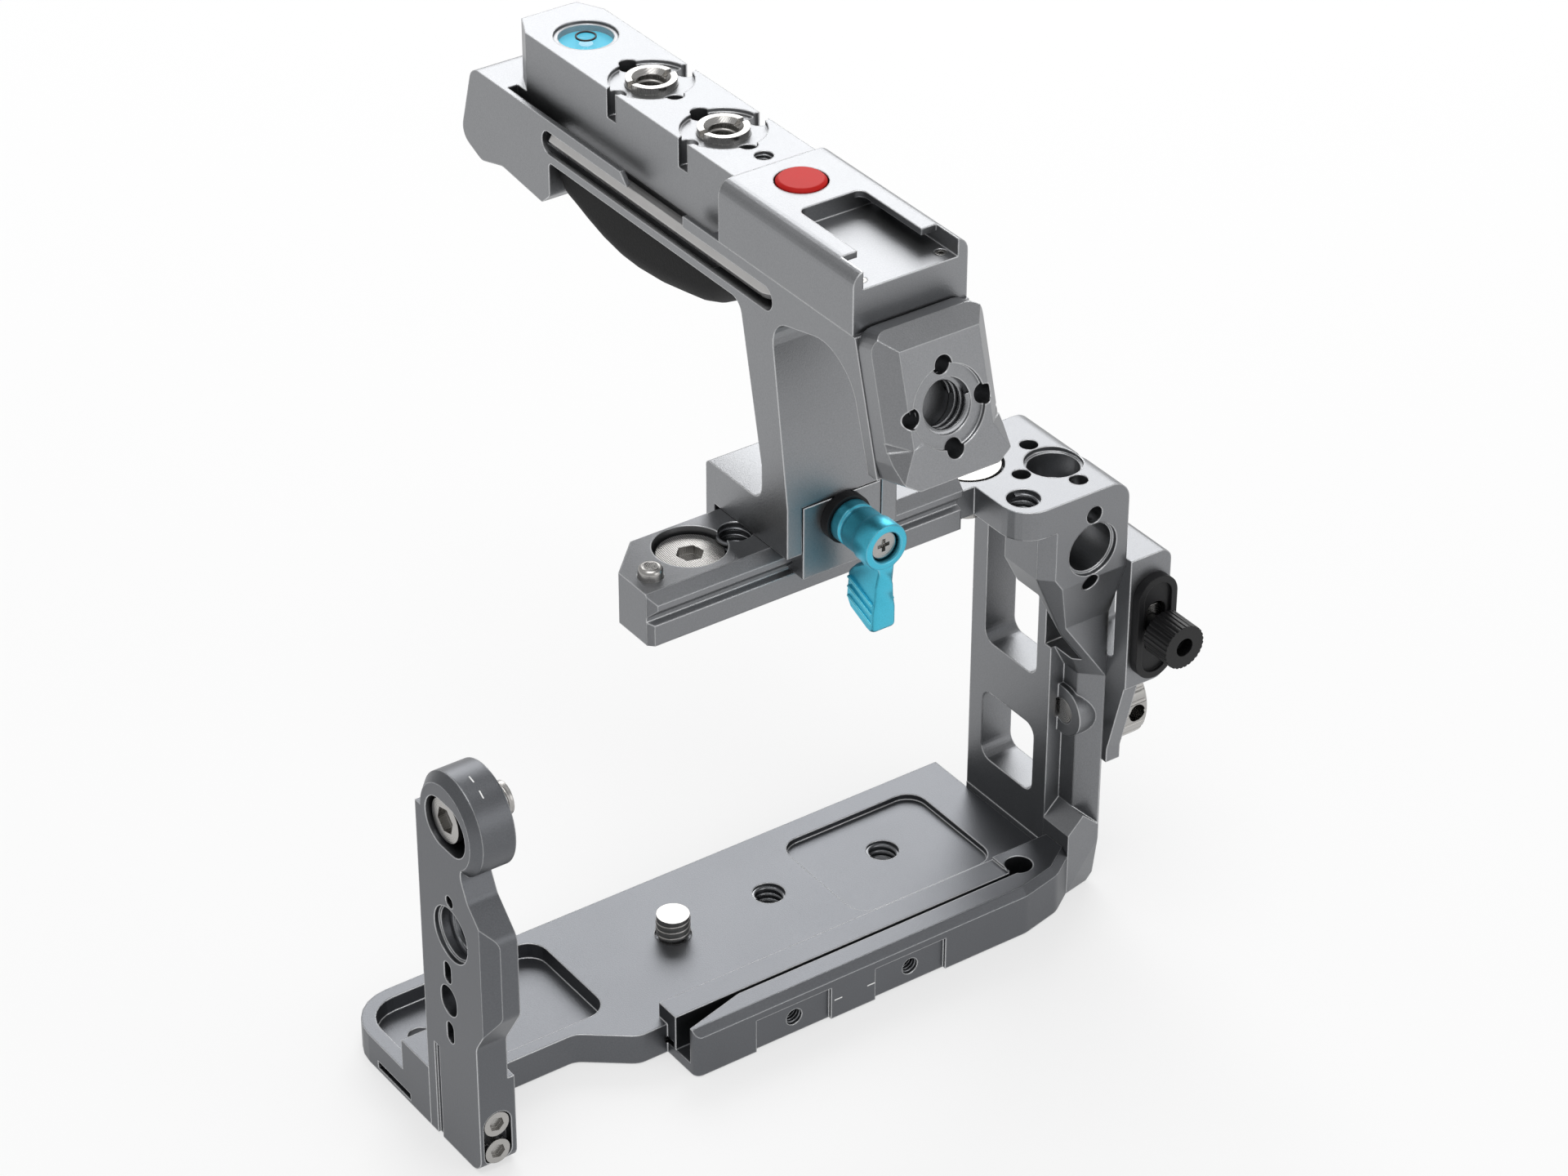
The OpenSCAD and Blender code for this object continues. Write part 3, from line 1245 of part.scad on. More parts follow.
module side_frame() color("silver") placed() difference() {
  union() {
    // top arm and corner block
    translate([0, 0, top_under]) linear_extrude(top_z - top_under) top_arm_plan();
    // front cheek, which narrows downwards and is bevelled along that edge
    difference() {
      post_y([[cheek_left, top_under + skin], [cheek_left, top_z - cheek_a_d], [flange_in, cheek_c_z],
        [wall_out, cheek_c_z], [wall_out, top_under + skin]], top_front, wall_front + skin);
      plane_cut([cheek_left, top_front + cheek_bevel, top_z], [cheek_left, top_front + cheek_bevel, 0],
        [cheek_left + cheek_bevel, top_front, top_z], top_z);
      plane_cut([cheek_left, top_front + cheek_bevel, top_z - cheek_a_d],
        [flange_in, flange_front + flange_w, cheek_c_z],
        [cheek_left + cheek_bevel, top_front, top_z - cheek_a_d], top_z);
    }
    // thick wall beside the camera
    span([wall_in, wall_front, 0], [wall_out, wall_back, top_under + skin]);
    span([wall_seat, flange_front, 0], [wall_out, wall_back, wall_foot_top]);
    // front flange with its slanted face, and the foot it widens into
    post_z([[flange_in, flange_front + flange_w], [wall_out, flange_front], [wall_out, wall_front + skin],
      [flange_in, wall_front + skin]], 0, cheek_c_z + skin);
    post_y([[flange_in - skin, foot_rise_z], [wall_seat, foot_rise_z - side_foot + flange_w],
      [wall_seat, 0], [wall_out, 0], [wall_out, foot_rise_z - side_foot + flange_w]],
      flange_front, wall_front + skin);
    // boss of the steel knob
    bar_x(knob_y, knob_z, knob_boss_in, wall_out, knob_boss_r);
    span([knob_boss_in, knob_y, knob_z - knob_boss_r], [wall_out, wall_front + skin, knob_z + knob_boss_r]);
  }
  // rounded outer top edge
  difference() {
    span([wall_out - top_shoulder_r, top_front - over, top_z - top_shoulder_r],
      [wall_out + over, wall_back + over, top_z + over]);
    bar_y(wall_out - top_shoulder_r, top_z - top_shoulder_r, top_front - over * 2, wall_back + over * 2,
      top_shoulder_r);
  }
  // the front below the corner block is set back
  post_x([[top_front - over, top_z - step_high_d], [top_front, top_z - step_high_d],
    [flange_front, top_z - step_low_d], [flange_front, cheek_c_z - over],
    [top_front - over, cheek_c_z - over]], cheek_left - over, wall_out + over);
  // outer front corner of the foot
  plane_cut([wall_seat, flange_front, 0], [wall_out, wall_bottom_bevel + flange_front, 0],
    [wall_out, flange_front, flange_low_z], top_w);
  // outer bottom bevel
  translate([wall_out, flange_front - over, wall_bottom_bevel])
    rotate([0, 135, 0]) cube([wall_bottom_bevel * 2, wall_back, wall_bottom_bevel * 2]);
  // port windows
  for (z = [[window_low, window_bar], [window_bar + window_bar_h, top_z - window_d]]) post_x(soft([
    [window_front, z[0], window_r], [window_back, z[0], window_r], [window_back, z[1], window_r],
    [window_front, z[1], window_r]]), wall_in - over, wall_out + over);
  // channel of the cable plug
  span([cheek_left, flange_front + plug_skin, plug_low], [wall_out + over, plug_back, plug_high]);
  // top locating hole and quarter-inch thread
  translate([corner_hole_x, corner_hole_y, 0]) {
    translate([0, 0, top_under - over]) cylinder(h = top_z, r = big_r);
    translate([0, 0, top_z - lead_depth]) cylinder(h = top_z, r = big_lead_r);
    translate([0, 0, top_z - pin_hole_depth]) pin_holes(top_z);
  }
  bar_z(corner_quarter_x, corner_quarter_y, top_under - over, top_z + over, quarter_r);
  // front locating hole
  translate([corner_hole_x, top_front - over, top_z - front_hole_d]) rotate([-90, 0, 0]) {
    cylinder(h = wall_front - top_front + over * 2, r = big_r);
    cylinder(h = over + lead_depth, r = big_lead_r);
    rotate([0, 0, 90]) for (s = [-1, 1]) translate([s * pin_ring, 0, 0])
      cylinder(h = pin_hole_depth + over, r = pin_hole_r);
  }
  // well and hole of the right rail screw
  translate([rail_screw_x + rail_screw_pitch, rail_screw_y, 0]) {
    translate([0, 0, top_z - rail_head_h - seat_gap]) cylinder(h = top_z, r = rail_well_r);
    translate([0, 0, top_under - over]) cylinder(h = top_z, r = rail_shank_r + running_gap);
  }
  // room for the rail's tongue
  span([top_arm_left - over, rail_screw_y - tongue_half - seat_gap, top_under - over],
    [tongue_right + seat_gap, rail_screw_y + tongue_half + seat_gap, dove_low + tongue_h + seat_gap]);
  // holes of the screws into the base
  for (i = [0, 1]) {
    bar_x(frame_screw_y + i * frame_screw_pitch, frame_screw_z, wall_in - over, wall_out + over,
      frame_screw_r + running_gap);
    bar_x(frame_screw_y + i * frame_screw_pitch, frame_screw_z, wall_out - frame_head_h, wall_out + over,
      frame_head_r + running_gap);
  }
  // hole of the steel knob
  bar_x(knob_y, knob_z, knob_boss_in - over, wall_out + over, knob_shank_r + running_gap);
}

module frame_screws() color("silver") placed() for (i = [0, 1])
  translate([wall_out - seat_gap, frame_screw_y + i * frame_screw_pitch, frame_screw_z]) {
    rotate([0, 90, 0])
      socket_head(frame_head_r, frame_head_h - seat_gap * 2, frame_screw_r, frame_head_h * half);
    rotate([0, -90, 0]) translate([0, 0, frame_head_h - over])
      cylinder(h = frame_screw_len - frame_head_h, r = frame_screw_r);
  }

// Top rail

module rail_section() polygon([[-dove_foot_half, dove_low], [dove_foot_half, dove_low],
  [dove_foot_half, dove_low + dove_foot_h], [dove_neck_half, dove_low + dove_foot_h + dove_neck_rise],
  [dove_neck_half, dove_neck_z], [dove_wide_half, dove_edge_z], [dove_wide_half, dove_top - dove_bevel_d],
  [dove_top_half, dove_top], [-dove_top_half, dove_top], [-dove_wide_half, dove_top - dove_bevel_d],
  [-dove_wide_half, dove_edge_z], [-dove_neck_half, dove_neck_z],
  [-dove_neck_half, dove_low + dove_foot_h + dove_neck_rise], [-dove_foot_half, dove_low + dove_foot_h]]);

module top_rail() color("gray") placed() difference() {
  union() {
    translate([dove_left, dove_mid, 0]) rotate([90, 0, 90]) linear_extrude(dove_len)
      rail_section();
    span([dove_right - skin, rail_screw_y - tongue_half, dove_low],
      [tongue_right, rail_screw_y + tongue_half, dove_low + tongue_h]);
  }
  // slanted left corners
  post_z([[dove_left - over, dove_mid + dove_wide_half - dove_corner - over],
    [dove_left + dove_corner + over, dove_mid + dove_wide_half + over],
    [dove_left - over, dove_mid + dove_wide_half + over]], dove_low - over, dove_top + over);
  post_z([[dove_left - over, dove_mid - dove_wide_half + dove_front_corner + over],
    [dove_left + dove_front_corner + over, dove_mid - dove_wide_half - over],
    [dove_left - over, dove_mid - dove_wide_half - over]], dove_low - over, dove_top + over);
  // left rail screw
  translate([rail_screw_x, rail_screw_y, 0]) {
    translate([0, 0, dove_top - rail_well_drop - rail_head_h]) cylinder(h = dove_top, r = rail_well_r);
    translate([0, 0, dove_low - over]) cylinder(h = dove_top, r = rail_shank_r + running_gap);
  }
  // right rail screw through the tongue
  bar_z(rail_screw_x + rail_screw_pitch, rail_screw_y, dove_low - over, dove_low + tongue_h + over,
    rail_shank_r + running_gap);
  // quarter-inch thread
  bar_z(dove_hole_x, dove_hole_y, dove_low - over, dove_top + over, quarter_r);
  // stepped well of the stop pin
  bar_z(stop_x, stop_y, dove_top - stop_well_deep, dove_top + over, stop_r + running_gap);
  bar_z(stop_x, stop_y, dove_top - stop_well_deep, dove_top - stop_len + stop_collar_h, stop_collar_r);
}

module rail_screws() color("silver") placed() for (i = [0, 1])
  translate([rail_screw_x + i * rail_screw_pitch, rail_screw_y, 0]) {
    top = i == 0 ? dove_top - rail_well_drop + seat_gap : top_z;
    translate([0, 0, top]) socket_head(rail_head_r, rail_head_h, rail_hex, rail_hex_deep);
    bar_z(0, 0, dove_low - rail_shank_out, top - rail_head_h + skin, rail_shank_r - thread_relief);
    bar_z(0, 0, dove_low - rail_shank_out, dove_low - free_gap, rail_shank_r);
  }

module stop_pin() color("silver") placed() translate([stop_x, stop_y, 0]) {
  bar_z(0, 0, dove_top - stop_len, dove_top + stop_up, stop_r);
  bar_z(0, 0, dove_top - stop_len, dove_top - stop_len + stop_collar_h - seat_gap, stop_collar_r - free_gap);
}

module stop_spring() color("silver") placed() translate([stop_x, stop_y, dove_top - stop_well_deep
  + seat_gap])
  coil(stop_r, wire_r, stop_well_deep - stop_len - seat_gap * 2, 4);

// Handle body

body_profile = soft([
  [front_top_y, head_low, 0], [tail_y - tail_top_in, head_low, foot_fillet],
  [tail_y, head_low - tail_mid_d, foot_fillet], [tail_y - tail_low_in, head_low - tail_low_d, foot_fillet],
  [tail_y - tail_hook_in, head_low - tail_hook_d, foot_fillet],
  [tail_inner_y + tail_front_w, head_low - tail_front_d, edge_r],
  [tail_inner_y, head_low - tail_mid_d, edge_r], [tail_inner_y, belly_z, edge_r],
  [post_rear_top_y, belly_z, foot_fillet], [post_rear_low_y, foot_low + post_low_up, foot_fillet],
  [post_rear_low_y, foot_top, foot_fillet], [foot_back, foot_top, edge_r],
  [foot_back, foot_low, 0], [post_front_y, foot_low, 0], [post_front_y, foot_low + post_lean_up, foot_fillet],
  [post_front_top_y, head_low - post_top_d, arch_post_r], [arch_front_y, head_low - arch_front_d, arch_r],
  [arch_side_y, head_low - arch_side_d, arch_r], [front_low_back_y, head_low - front_low_d, 0],
  [front_low_y, head_low - front_low_d, 0]]);

module handle_body() color("silver") placed() difference() {
  union() {
    post_x(body_profile, grip_left, grip_right);
    // raised deck between the troughs
    post_z([[deck_mid - deck_half, head_back + seat_gap], [deck_mid + deck_half, head_back + seat_gap],
      [deck_mid + deck_half, deck_taper_y], [deck_mid + deck_tip_half, deck_back],
      [deck_mid - deck_tip_half, deck_back], [deck_mid - deck_half, deck_taper_y]],
      head_low - skin, deck_top);
    // fixed jaw behind the rail
    post_x([[foot_back, foot_low + skin], [foot_back, jaw_low],
      [dove_mid + dove_neck_half + free_gap, jaw_low],
      [dove_mid + dove_neck_half + free_gap, dove_neck_z],
      [dove_mid + dove_wide_half + running_gap, dove_edge_z],
      [dove_mid + dove_wide_half + running_gap, foot_low + skin]], grip_left, grip_right);
  }
  // troughs on both sides of the deck
  both_sides() span([grip_left + wall_thick, head_back + foot_fillet, belly_z + bar_floor],
    [deck_mid - deck_half, deck_taper_y + foot_fillet, head_low + over]);
  // long window in the left wall, with room for the key's short leg
  translate([grip_left - over, (slot_front + slot_back) * half, (slot_low + slot_high) * half])
    rotate([0, 90, 0]) linear_extrude(wall_thick + over * 2)
    slot_plan(slot_back - slot_front, (slot_high - slot_low) * half);
  span([grip_left + wall_thick - skin, slot_front, slot_low], [key_room_x, slot_back, slot_high]);
  span([grip_left + wall_thick, slot_front, slot_low],
    [key_x + key_leg + free_gap, key_front + key_half * 2 + key_bend, slot_high]);
  // finger notch in the left wall
  post_x([[notch_front_y, head_low + over], [notch_front_y, head_low - notch_depth],
    [notch_back_y - notch_depth, head_low - notch_depth], [notch_back_y + over, head_low + over]],
    grip_left - over, grip_left + wall_thick + over);
  // bush holes, shallow round recesses and locating holes of the deck
  for (y = [bush_a_y, bush_b_y]) translate([deck_mid, y, deck_top]) {
    translate([0, 0, -bush_len - over]) cylinder(h = bush_len + over * 2, r = bush_r + seat_gap);
    translate([0, 0, -bush_ring_deep]) cylinder(h = bush_ring_deep + over, r = bush_ring_r);
    translate([0, 0, -pin_hole_depth]) pin_holes(pin_hole_depth + over);
  }
  bar_z(deck_mid, deck_m4_y, deck_top - pin_hole_depth, deck_top + over, m4_r);
  // well of the level
  bar_z(deck_mid, level_y, deck_top - level_drop - level_deep - seat_gap, deck_top + over, level_r
    + seat_gap);
  // hole of the magnet
  bar_x(magnet_y, key_z, key_room_x - over, key_room_x + magnet_h + seat_gap, magnet_r + seat_gap);
  // holes of the clamp screw, its springs and the head's screws
  bar_y(lever_x, lever_z, post_front_y - over, post_front_y + jaw_depth + stud_in, stud_r + running_gap);
  // pocket of the front jaw
  span([jaw_left - free_gap, post_front_y - over, foot_low - over],
    [jaw_right + free_gap, post_front_y + jaw_depth + seat_gap, jaw_top + free_gap]);
  for (s = [-1, 1]) bar_y(lever_x + s * jaw_spring_x, lever_z, post_front_y + jaw_depth,
    post_front_y + jaw_depth + jaw_spring_len, jaw_spring_r + free_gap);
  // small screws that hold the head
  for (s = [-1, 1]) bar_z(deck_mid + s * shoe_screw_half, shoe_screw_y, head_low - arch_front_d,
    head_low + over,
    shoe_screw_r + running_gap);
}

// tilted mount on the handle's front

module tilted() translate([deck_mid, plate_y, head_low - plate_drop]) rotate([90 - plate_tilt, 0, 0])
  children();

// cuts a slanted flank along the front edge from p to q, with the solid on the right-hand side
module flank(p, q) translate([p[0], p[1], 0]) rotate([0, 0, atan2(q[1] - p[1], q[0] - p[0])])
  rotate([-45, 0, 0]) cube([norm(q - p), plate_thick * 2, plate_thick]);

module side_flanks() {
  flank([plate_half, plate_top_out + over], [plate_half, plate_waist_s]);
  flank([plate_half, plate_waist_s], [plate_flare_half, plate_flare_s]);
}

module front_mount() color("silver") placed() tilted() difference() {
  translate([0, 0, -plate_thick]) linear_extrude(plate_thick) polygon(soft([
    [-plate_wide, plate_top_out, plate_side], [-plate_wide, plate_flare_s + plate_side, edge_r],
    [-plate_flare_half, plate_flare_s, edge_r], [-plate_half, plate_low_s, edge_r],
    [plate_half, plate_low_s, edge_r], [plate_flare_half, plate_flare_s, edge_r],
    [plate_wide, plate_flare_s + plate_side, edge_r], [plate_wide, plate_top_out, plate_side]]));
  flank([-plate_wide, plate_top_s], [plate_wide, plate_top_s]);
  side_flanks();
  mirror([1, 0, 0]) side_flanks();
  translate([0, 0, -plate_thick - over]) cylinder(h = plate_thick + over * 2, r = big_r);
  translate([0, 0, -bush_ring_deep]) cylinder(h = bush_ring_deep + over, r = plate_ring_r);
  translate([0, 0, -pin_hole_depth]) pin_holes(pin_hole_depth + over);
}

// Handle head

module handle_head() color("silver") placed() difference() {
  post_y(soft([[grip_left, head_low + seat_gap, 0], [grip_right, head_low + seat_gap, 0],
    [grip_right, head_top, head_round], [grip_left, head_top, head_round]]), head_front, head_back);
  // cold shoe: opening between the lips, slot under them, open front
  post_z(soft([[deck_mid - shoe_half, head_front - over, 0], [deck_mid + shoe_half, head_front - over, 0],
    [deck_mid + shoe_half, shoe_back, shoe_corner_r], [deck_mid - shoe_half, shoe_back, shoe_corner_r]]),
    shoe_floor, head_top + over);
  post_z(soft([[deck_mid - shoe_slot_half, head_front - over, 0],
    [deck_mid + shoe_slot_half, head_front - over, 0], [deck_mid + shoe_slot_half, shoe_back, shoe_corner_r],
    [deck_mid - shoe_slot_half, shoe_back, shoe_corner_r]]), shoe_floor, shoe_floor + shoe_slot_h);
  span([deck_mid - shoe_slot_half, head_front - over, shoe_floor],
    [deck_mid + shoe_slot_half, shoe_lip_front, head_top + over]);
  // small screws in the shoe's floor
  for (s = [-1, 1]) bar_z(deck_mid + s * shoe_screw_half, shoe_screw_y, head_low - over, head_top,
    shoe_screw_r + running_gap);
  // button hole and the hollow for the switch board
  bar_z(deck_mid, button_y, cavity_top - over, head_top + over, button_r + button_ring);
  span([deck_mid - cavity_half, cavity_front, head_low - over], [deck_mid + cavity_half, cavity_back,
    cavity_top]);
}

module head_screws() color("silver") placed() for (s = [-1, 1])
  translate([deck_mid + s * shoe_screw_half, shoe_screw_y, shoe_floor])
  socket_head(shoe_screw_r, shoe_screw_len, shoe_screw_r * half, shoe_screw_r);

module run_button() color("red") placed() translate([deck_mid, button_y, 0]) difference() {
  union() {
    bar_z(0, 0, cavity_top - button_collar_h, head_top + button_proud, button_r);
    bar_z(0, 0, cavity_top - button_collar_h, cavity_top - seat_gap, button_collar_r);
    bar_z(0, 0, switch_top + button_travel + button_ring, cavity_top, button_post_r);
  }
  // small bevel ring around the button's top
  translate([0, 0, head_top + button_proud]) rotate_extrude() polygon([[button_r - button_proud, skin],
    [button_r + skin, -button_proud], [button_r + button_proud, -button_proud], [button_r + button_proud,
      skin]]);
}

module button_spring() color("silver") placed()
  translate([deck_mid, button_y, head_low + seat_gap + board_h + seat_gap])
  coil(button_spring_r, wire_r, cavity_top - button_collar_h - head_low - board_h - seat_gap * 3, 4);

module switch_board() color("green") placed() span([deck_mid - cavity_half + free_gap,
  cavity_front + free_gap, head_low + seat_gap], [deck_mid + cavity_half - free_gap,
  cavity_back - free_gap, head_low + seat_gap + board_h]);

module button_switch() color("black") placed() span([deck_mid - switch_w * half, button_y - switch_w * half,
  head_low + seat_gap * 2 + board_h], [deck_mid + switch_w * half, button_y + switch_w * half, switch_top]);

// Bushes, level, key

module deck_bushes() color("gray") placed() for (y = [bush_a_y, bush_b_y])
  translate([deck_mid, y, deck_top + bush_up]) difference() {
    translate([0, 0, -bush_len]) cylinder(h = bush_len, r = bush_r);
    translate([0, 0, -bush_len - over]) cylinder(h = bush_len + over * 2, r = bush_bore);
    translate([0, 0, skin]) rotate_extrude() polygon([[0, 0], [bush_lead_r, 0],
      [bush_bore - skin, bush_bore - bush_lead_r], [0, bush_bore - bush_lead_r]]);
    translate([-bush_r * 2, -bush_slot_w * half, -bush_slot_deep])
      cube([bush_r * 4, bush_slot_w, bush_slot_deep + over]);
  }

module level_cup() color("silver") placed() translate([deck_mid, level_y, deck_top - level_drop - level_deep])
  difference() {
    cylinder(h = level_deep, r = level_r);
    translate([0, 0, level_floor]) cylinder(h = level_deep, r = level_r - level_wall);
  }

module level_liquid() color("deepskyblue") placed()
  translate([deck_mid, level_y, deck_top - level_drop - level_deep + level_floor + seat_gap])
  cylinder(h = level_deep - level_floor - level_glass_h - seat_gap * 2, r = level_r - level_wall - seat_gap);

module level_window() color("lightblue") placed()
  translate([deck_mid, level_y, deck_top - level_drop - level_glass_h])
  cylinder(h = level_glass_h, r = level_r - level_wall - seat_gap);

module level_mark() color("black") placed() translate([deck_mid, level_y, deck_top - level_drop + seat_gap])
  difference() {
    cylinder(h = level_ring_h, r = level_ring_r + level_ring_w);
    translate([0, 0, -over]) cylinder(h = level_ring_h + over * 2, r = level_ring_r);
  }

module hex_key() color("gray") placed() {
  bend_y = key_front + key_half + key_bend;
  translate([key_x, bend_y, key_z]) rotate([-90, 0, 0])
    cylinder(h = key_back - bend_y, r = key_corner_r, $fn = 6);
  translate([key_x + key_bend, key_front + key_half, key_z]) rotate([0, 90, 0])
    rotate([0, 0, 90]) cylinder(h = key_leg - key_bend, r = key_corner_r, $fn = 6);
  translate([key_x + key_bend, bend_y, key_z]) rotate([0, 0, 180])
    rotate_extrude(angle = 90) translate([key_bend, 0]) circle(r = key_corner_r, $fn = 6);
}

module key_magnet() color("silver") placed() bar_x(magnet_y, key_z, key_room_x + seat_gap,
  key_room_x + magnet_h, magnet_r);

// Rubber grip: a belly outline with bevelled long edges

module rubber_layer(rise, wide) translate([0, 0, belly_z + rise]) post_x([[rubber_front + rise,
  -seat_gap - rise],
  [rubber_back - rise, -seat_gap - rise], [rubber_back - rise, rubber_bevel - rubber_a_d - rise * half],
  [rubber_a_y, -rubber_a_d], [(rubber_a_y + rubber_low_y) * half, -rubber_mid_d],
  [rubber_low_y, -rubber_low_d], [rubber_b_y, -rubber_b_d],
  [rubber_c_y, -rubber_c_d]], deck_mid - wide, deck_mid + wide);

module rubber_grip() color("black") placed() hull() {
  rubber_layer(0, rubber_half - rubber_bevel);
  rubber_layer(rubber_bevel, rubber_half);
}

// Clamp on the top rail

module clamp_jaw() color("silver") placed() difference() {
  post_x([[post_front_y, jaw_low], [dove_mid - dove_neck_half - free_gap, jaw_low],
    [dove_mid - dove_neck_half - free_gap, dove_neck_z], [dove_mid - dove_wide_half - running_gap,
      dove_edge_z],
    [dove_mid - dove_wide_half - running_gap, dove_top - dove_bevel_d], [dove_mid - dove_top_half
      - running_gap,
    dove_top + running_gap], [post_front_y + jaw_depth, dove_top + running_gap],
    [post_front_y + jaw_depth, jaw_top], [post_front_y, jaw_top]], jaw_left, jaw_right);
  bar_y(lever_x, lever_z, post_front_y - over, post_front_y + jaw_depth + over, stud_r + running_gap);
}

module jaw_springs() color("silver") placed() for (s = [-1, 1])
  translate([lever_x + s * jaw_spring_x, post_front_y + jaw_depth + jaw_spring_len - seat_gap, lever_z])
  rotate([90, 0, 0]) coil(jaw_spring_r, wire_r, jaw_spring_len - seat_gap * 2, 5);

module clamp_stud() color("silver") placed() translate([lever_x, post_front_y - washer_h, lever_z])
  rotate([90, 0, 0]) difference() {
    union() {
      translate([0, 0, -washer_h - jaw_depth - stud_in]) cylinder(h = washer_h + jaw_depth + stud_in + skin,
        r = stud_r);
      cylinder(h = stud_spline_h, r = stud_spline_r);
      for (i = [0:spline_teeth - 1]) rotate([0, 0, i * 360 / spline_teeth])
        translate([stud_spline_r - spline_tooth, -spline_tooth * half, 0])
        cube([spline_tooth + spline_tooth * half * half, spline_tooth, stud_spline_h]);
    }
    translate([0, 0, stud_spline_h - cap_shank_len]) cylinder(h = cap_shank_len + over,
      r = cap_shank_r + running_gap);
  }

module stud_washer() color("black") placed() translate([lever_x, post_front_y - seat_gap, lever_z])
  rotate([90, 0, 0]) difference() {
    cylinder(h = washer_h - seat_gap * 2, r = washer_r);
    translate([0, 0, -over]) cylinder(h = washer_h + over * 2, r = stud_r + running_gap);
  }

module clamp_lever() color("royalblue") placed() translate([lever_x, lever_front, lever_z])
  rotate([90, 0, 0]) difference() {
    union() {
      // barrel and round head; the lever's front lies at 0
      translate([0, 0, -barrel_len]) cylinder(h = barrel_len - lever_head_h, r = barrel_r);
      translate([0, 0, -lever_head_h - skin]) cylinder(h = lever_head_h + skin, r = lever_head_r);
      // tail: a blade that hangs down
      rotate([0, 90, 0]) translate([0, 0, -lever_tail_w * half]) linear_extrude(lever_tail_w)
        polygon(soft([[0, 0, 0], [0, -lever_tail, edge_r], [lever_tip, -lever_tail, edge_r],
          [lever_blade_d, -lever_slant, edge_r], [lever_blade_d, -lever_neck, edge_r],
          [lever_head_h, -lever_neck * half, 0], [lever_head_h, 0, 0]]));
    }
    // bore around the toothed collar
    translate([0, 0, -barrel_len - over]) cylinder(h = stud_spline_h + over + lever_web * half,
      r = barrel_bore);
    // recess for the lever screw and its spring
    translate([0, 0, -barrel_len + stud_spline_h + lever_web + lever_web * half])
      cylinder(h = barrel_len, r = cap_r + free_gap);
    translate([0, 0, -barrel_len - over]) cylinder(h = barrel_len, r = cap_shank_r + free_gap);
    // three slanted grip grooves on the left flank
    for (i = [0:2]) translate([-lever_tail_w * half, -lever_groove_z - i * lever_groove_pitch,
      -lever_blade_d * half])
      rotate([45, 0, 0]) translate([-over, -lever_groove_w * half, -lever_blade_d])
      cube([over + lever_groove_deep, lever_groove_w, lever_blade_d * 2]);
  }

module lever_spring() color("silver") placed()
  translate([lever_x, lever_front + cap_drop + cap_h + seat_gap, lever_z]) rotate([-90, 0, 0])
  coil(cap_r, lever_wire_r, lever_spring_len, 2);

module lever_screw() color("silver") placed() translate([lever_x, lever_front + cap_drop, lever_z])
  rotate([90, 0, 0]) difference() {
    union() {
      translate([0, 0, -cap_h]) cylinder(h = cap_h, r = cap_r);
      translate([0, 0, -barrel_len + cap_drop + stud_spline_h - cap_shank_len + seat_gap])
        cylinder(h = barrel_len - cap_drop - stud_spline_h + cap_shank_len - seat_gap - cap_h * half,
        r = cap_shank_r);
    }
    for (a = [0, 90]) rotate([0, 0, a]) translate([-cap_shank_r, -cap_cross_w * half, -cap_h * half])
      cube([cap_shank_r * 2, cap_cross_w, cap_h]);
  }

// Cable clamp

module cable_bracket() color("dimgray") placed() difference() {
  union() {
    post_x([[bracket_front, bracket_high], [bracket_front, bracket_slant_z], [bracket_tip_y, bracket_tip_z],
      [bracket_tip_y, bracket_bottom], [bracket_back, bracket_bottom], [bracket_back, bracket_high]],
      wall_out + seat_gap, wall_out + bracket_plate);
    post_y(soft([[wall_out + seat_gap, bracket_low, 0], [bracket_out, bracket_low, bracket_round],
      [bracket_out, bracket_high, bracket_round], [wall_out + seat_gap, bracket_high, 0]]),
      bracket_front, bracket_block_back);
  }
  // cable opening
  post_x(soft([[plug_front, plug_low, oval_rim], [plug_back, plug_low, oval_rim],
    [plug_back, plug_high, oval_rim], [plug_front, plug_high, oval_rim]]), wall_out - over, bracket_out
      + over);
  // track of the sliding nut and slot of the clamp screw in the front wall
  span([clamp_x - nut_w * half - thumb_play, bracket_front - over,
    clamp_z - nut_h * half - carriage_travel - thumb_play], [clamp_x + nut_w * half + thumb_play,
    bracket_front + nut_t + thumb_play * 2, clamp_z + nut_h * half + carriage_travel + thumb_play]);
  span([clamp_x - thumb_neck_r - free_gap, bracket_front, clamp_z - thumb_neck_r - carriage_travel
    - free_gap], [clamp_x + thumb_neck_r + free_gap, plug_front + over,
    clamp_z + thumb_neck_r + carriage_travel + free_gap]);
  // hole of the steel knob
  bar_x(knob_y, knob_z, wall_out - over, bracket_out, knob_shank_r + running_gap);
}

module cable_guide() color("black") placed() translate([clamp_x, bracket_front - seat_gap, clamp_z])
  rotate([90, 0, 0]) difference() {
    linear_extrude(oval_out - seat_gap) slot_plan(oval_tall, oval_half);
    translate([0, 0, oval_out - oval_sink]) linear_extrude(oval_out)
      slot_plan(oval_tall - oval_rim * 2, oval_half - oval_rim);
    translate([0, 0, -over]) linear_extrude(oval_out * 2) slot_plan(oval_slot_tall, oval_slot_half);
  }

module cable_nut() color("silver") placed() difference() {
  span([clamp_x - nut_w * half, bracket_front + thumb_play, clamp_z - nut_h * half],
    [clamp_x + nut_w * half, bracket_front + thumb_play + nut_t, clamp_z + nut_h * half]);
  bar_y(clamp_x, clamp_z, bracket_front, plug_front, thumb_neck_r + running_gap);
}

module cable_jaw() color("silver") placed() span([clamp_x - jaw_pad_w * half, plug_front + free_gap,
  clamp_z - jaw_pad_h * half], [clamp_x + jaw_pad_w * half, plug_front + free_gap + jaw_pad_t,
  clamp_z + jaw_pad_h * half]);

